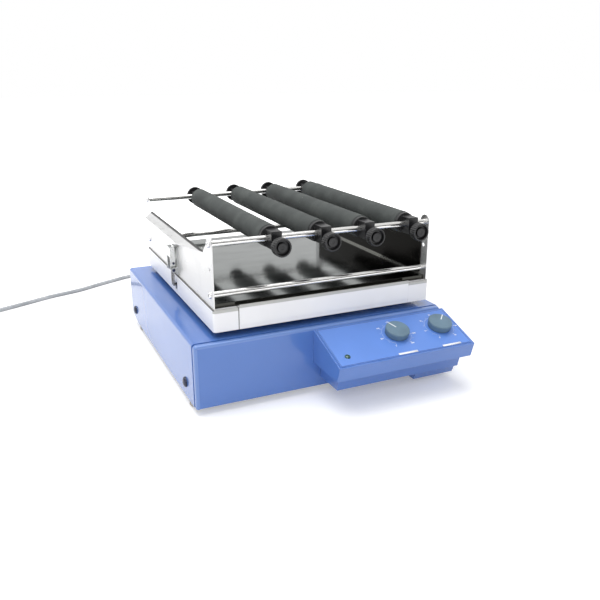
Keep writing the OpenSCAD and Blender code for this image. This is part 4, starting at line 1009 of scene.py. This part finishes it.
def make_rocker_marks():
    """I and O on the power rocker: figures laid on its two faces, each of which leans out from the pin's
    height to its end, less the tilt in which the rocker rests."""
    pin = np.asarray(JOINTS["power_rock"]["pos_m"])
    deep, tall, out_at_pin = 2.9 * MM, 10.2 * MM, 4.6 * MM
    figure, tilt = 5 * MM, np.radians(9)
    lifted = []
    for text, side in (("O", 1), ("I", -1)):
        lean = side * np.arctan2(deep, tall) - tilt
        up = np.array([0, np.sin(lean), np.cos(lean)])
        out = np.array([0, np.cos(lean), -np.sin(lean)])
        y, z = out_at_pin + deep / 2, side * tall / 2
        middle = pin + (0, y * np.cos(tilt) - z * np.sin(tilt), y * np.sin(tilt) + z * np.cos(tilt))
        points, faces = lettering(text, figure, (0, 0))
        lifted.append((place(points, middle + INK_LIFT * out, -X_AXIS, up, out), faces))
    print_on("rocker_marks", lifted, white_ink, "rocker")


for name, dial in DIALS.items():
    make_control_knob(name, dial["pointer"])
    make_dial_print(name, dial["marks"])
make_fascia_border()
make_rocker_marks()


# Floor, world and lights

def dim_front(nodes, links):
    """Brightness of the world by direction: white all round, dim low behind the camera, where a studio has
    its unlit side, so that bright rods show a dark line."""
    way = nodes.new("ShaderNodeSeparateXYZ")
    links.new(nodes.new("ShaderNodeTexCoord").outputs["Generated"], way.inputs[0])
    parts = []
    for axis, clear, dim in DIM_SIDES:
        part = nodes.new("ShaderNodeMapRange")
        part.inputs[1].default_value = clear
        part.inputs[2].default_value = dim
        links.new(way.outputs[axis], part.inputs[0])
        parts.append(part.outputs[0])
    share = nodes.new("ShaderNodeMath")
    share.operation = "MULTIPLY"
    links.new(parts[0], share.inputs[0])
    links.new(parts[1], share.inputs[1])
    level = nodes.new("ShaderNodeMapRange")
    level.inputs[3].default_value = 1.0
    level.inputs[4].default_value = WORLD_DIM
    links.new(share.outputs[0], level.inputs[0])
    return level.outputs[0]


def make_floor():
    """A pale square floor. Seen straight or in a mirror it also glows, faintly near the object, so that its
    shadow stays, and up to white further away."""
    half = FLOOR_HALF
    points = np.array([[(-half, -half, 0), (half, -half, 0)], [(-half, half, 0), (half, half, 0)]], float)
    mesh = bpy.data.meshes.new("floor")
    corners, quads = grid(points, close_cols=False)
    mesh.from_pydata(corners.tolist(), [], quads.tolist())
    floor = bpy.data.objects.new("floor", mesh)
    bpy.context.scene.collection.objects.link(floor)
    f = Finish("floor_white", Base_Color=(0.86, 0.86, 0.865, 1), Roughness=0.6, Specular_IOR_Level=0.0,
               Emission_Color=(1, 1, 1, 1))
    rays = f.add("ShaderNodeLightPath")
    seen = f.math("ADD", rays.outputs["Is Camera Ray"], rays.outputs["Is Glossy Ray"])
    seen = f.math("ADD", seen, rays.outputs["Is Transmission Ray"])
    away = f.add("ShaderNodeVectorMath", {0: f.place}, operation="LENGTH").outputs["Value"]
    glow = f.span(away, FLOOR_NEAR, FLOOR_FAR, FLOOR_GLOW, 1.0)
    f.feed("Emission Strength", f.math("MULTIPLY", seen, glow))
    mesh.materials.append(f.material)


def make_world():
    """A white world: the camera sees white, bright surfaces see white with one dim side, and matt surfaces
    get less of it, so that the lamps shape them."""
    world = bpy.data.worlds.new("studio")
    world.use_nodes = True
    nodes, links = world.node_tree.nodes, world.node_tree.links
    paths = nodes.new("ShaderNodeLightPath")
    add = [nodes.new("ShaderNodeMath") for _ in range(2)]
    links.new(paths.outputs["Is Camera Ray"], add[0].inputs[0])
    links.new(paths.outputs["Is Glossy Ray"], add[0].inputs[1])
    links.new(add[0].outputs[0], add[1].inputs[0])
    links.new(paths.outputs["Is Transmission Ray"], add[1].inputs[1])
    strength = nodes.new("ShaderNodeMapRange")
    strength.inputs[3].default_value = WORLD_FILL
    links.new(add[1].outputs[0], strength.inputs[0])
    plain = nodes.new("ShaderNodeMath")
    plain.operation = "MAXIMUM"
    links.new(dim_front(nodes, links), plain.inputs[0])
    links.new(paths.outputs["Is Camera Ray"], plain.inputs[1])
    links.new(plain.outputs[0], strength.inputs[4])
    background = nodes["Background"]
    background.inputs["Color"].default_value = (1, 1, 1, 1)
    links.new(strength.outputs[0], background.inputs["Strength"])
    bpy.context.scene.world = world


def softbox(name, at, aim, size, power):
    """A square area lamp at a place, aimed at a point."""
    data = bpy.data.lights.new(name, "AREA")
    data.size = size
    data.energy = power
    lamp = bpy.data.objects.new(name, data)
    back = np.asarray(at, float) - aim
    tilt = np.arctan2(np.hypot(back[0], back[1]), back[2])
    lamp.location = at
    lamp.rotation_euler = (tilt, 0, np.arctan2(back[0], -back[1]))
    bpy.context.scene.collection.objects.link(lamp)


FLOOR_HALF = 12
FLOOR_GLOW = 0.24
FLOOR_NEAR = 0.45
FLOOR_FAR = 1.1
WORLD_FILL = 0.6
WORLD_DIM = 0.12
DIM_SIDES = (("Y", -0.25, -0.6), ("Z", 0.62, 0.35))
LAMP_AIM = (0, 0, 0.1)

make_floor()
make_world()
softbox("top_softbox", at=(-0.25, 0.25, 1.9), aim=LAMP_AIM, size=1.7, power=33)
softbox("front_softbox", at=(-1.0, -1.9, 1.3), aim=LAMP_AIM, size=1.3, power=13)
bpy.context.scene.view_settings.view_transform = "Standard"
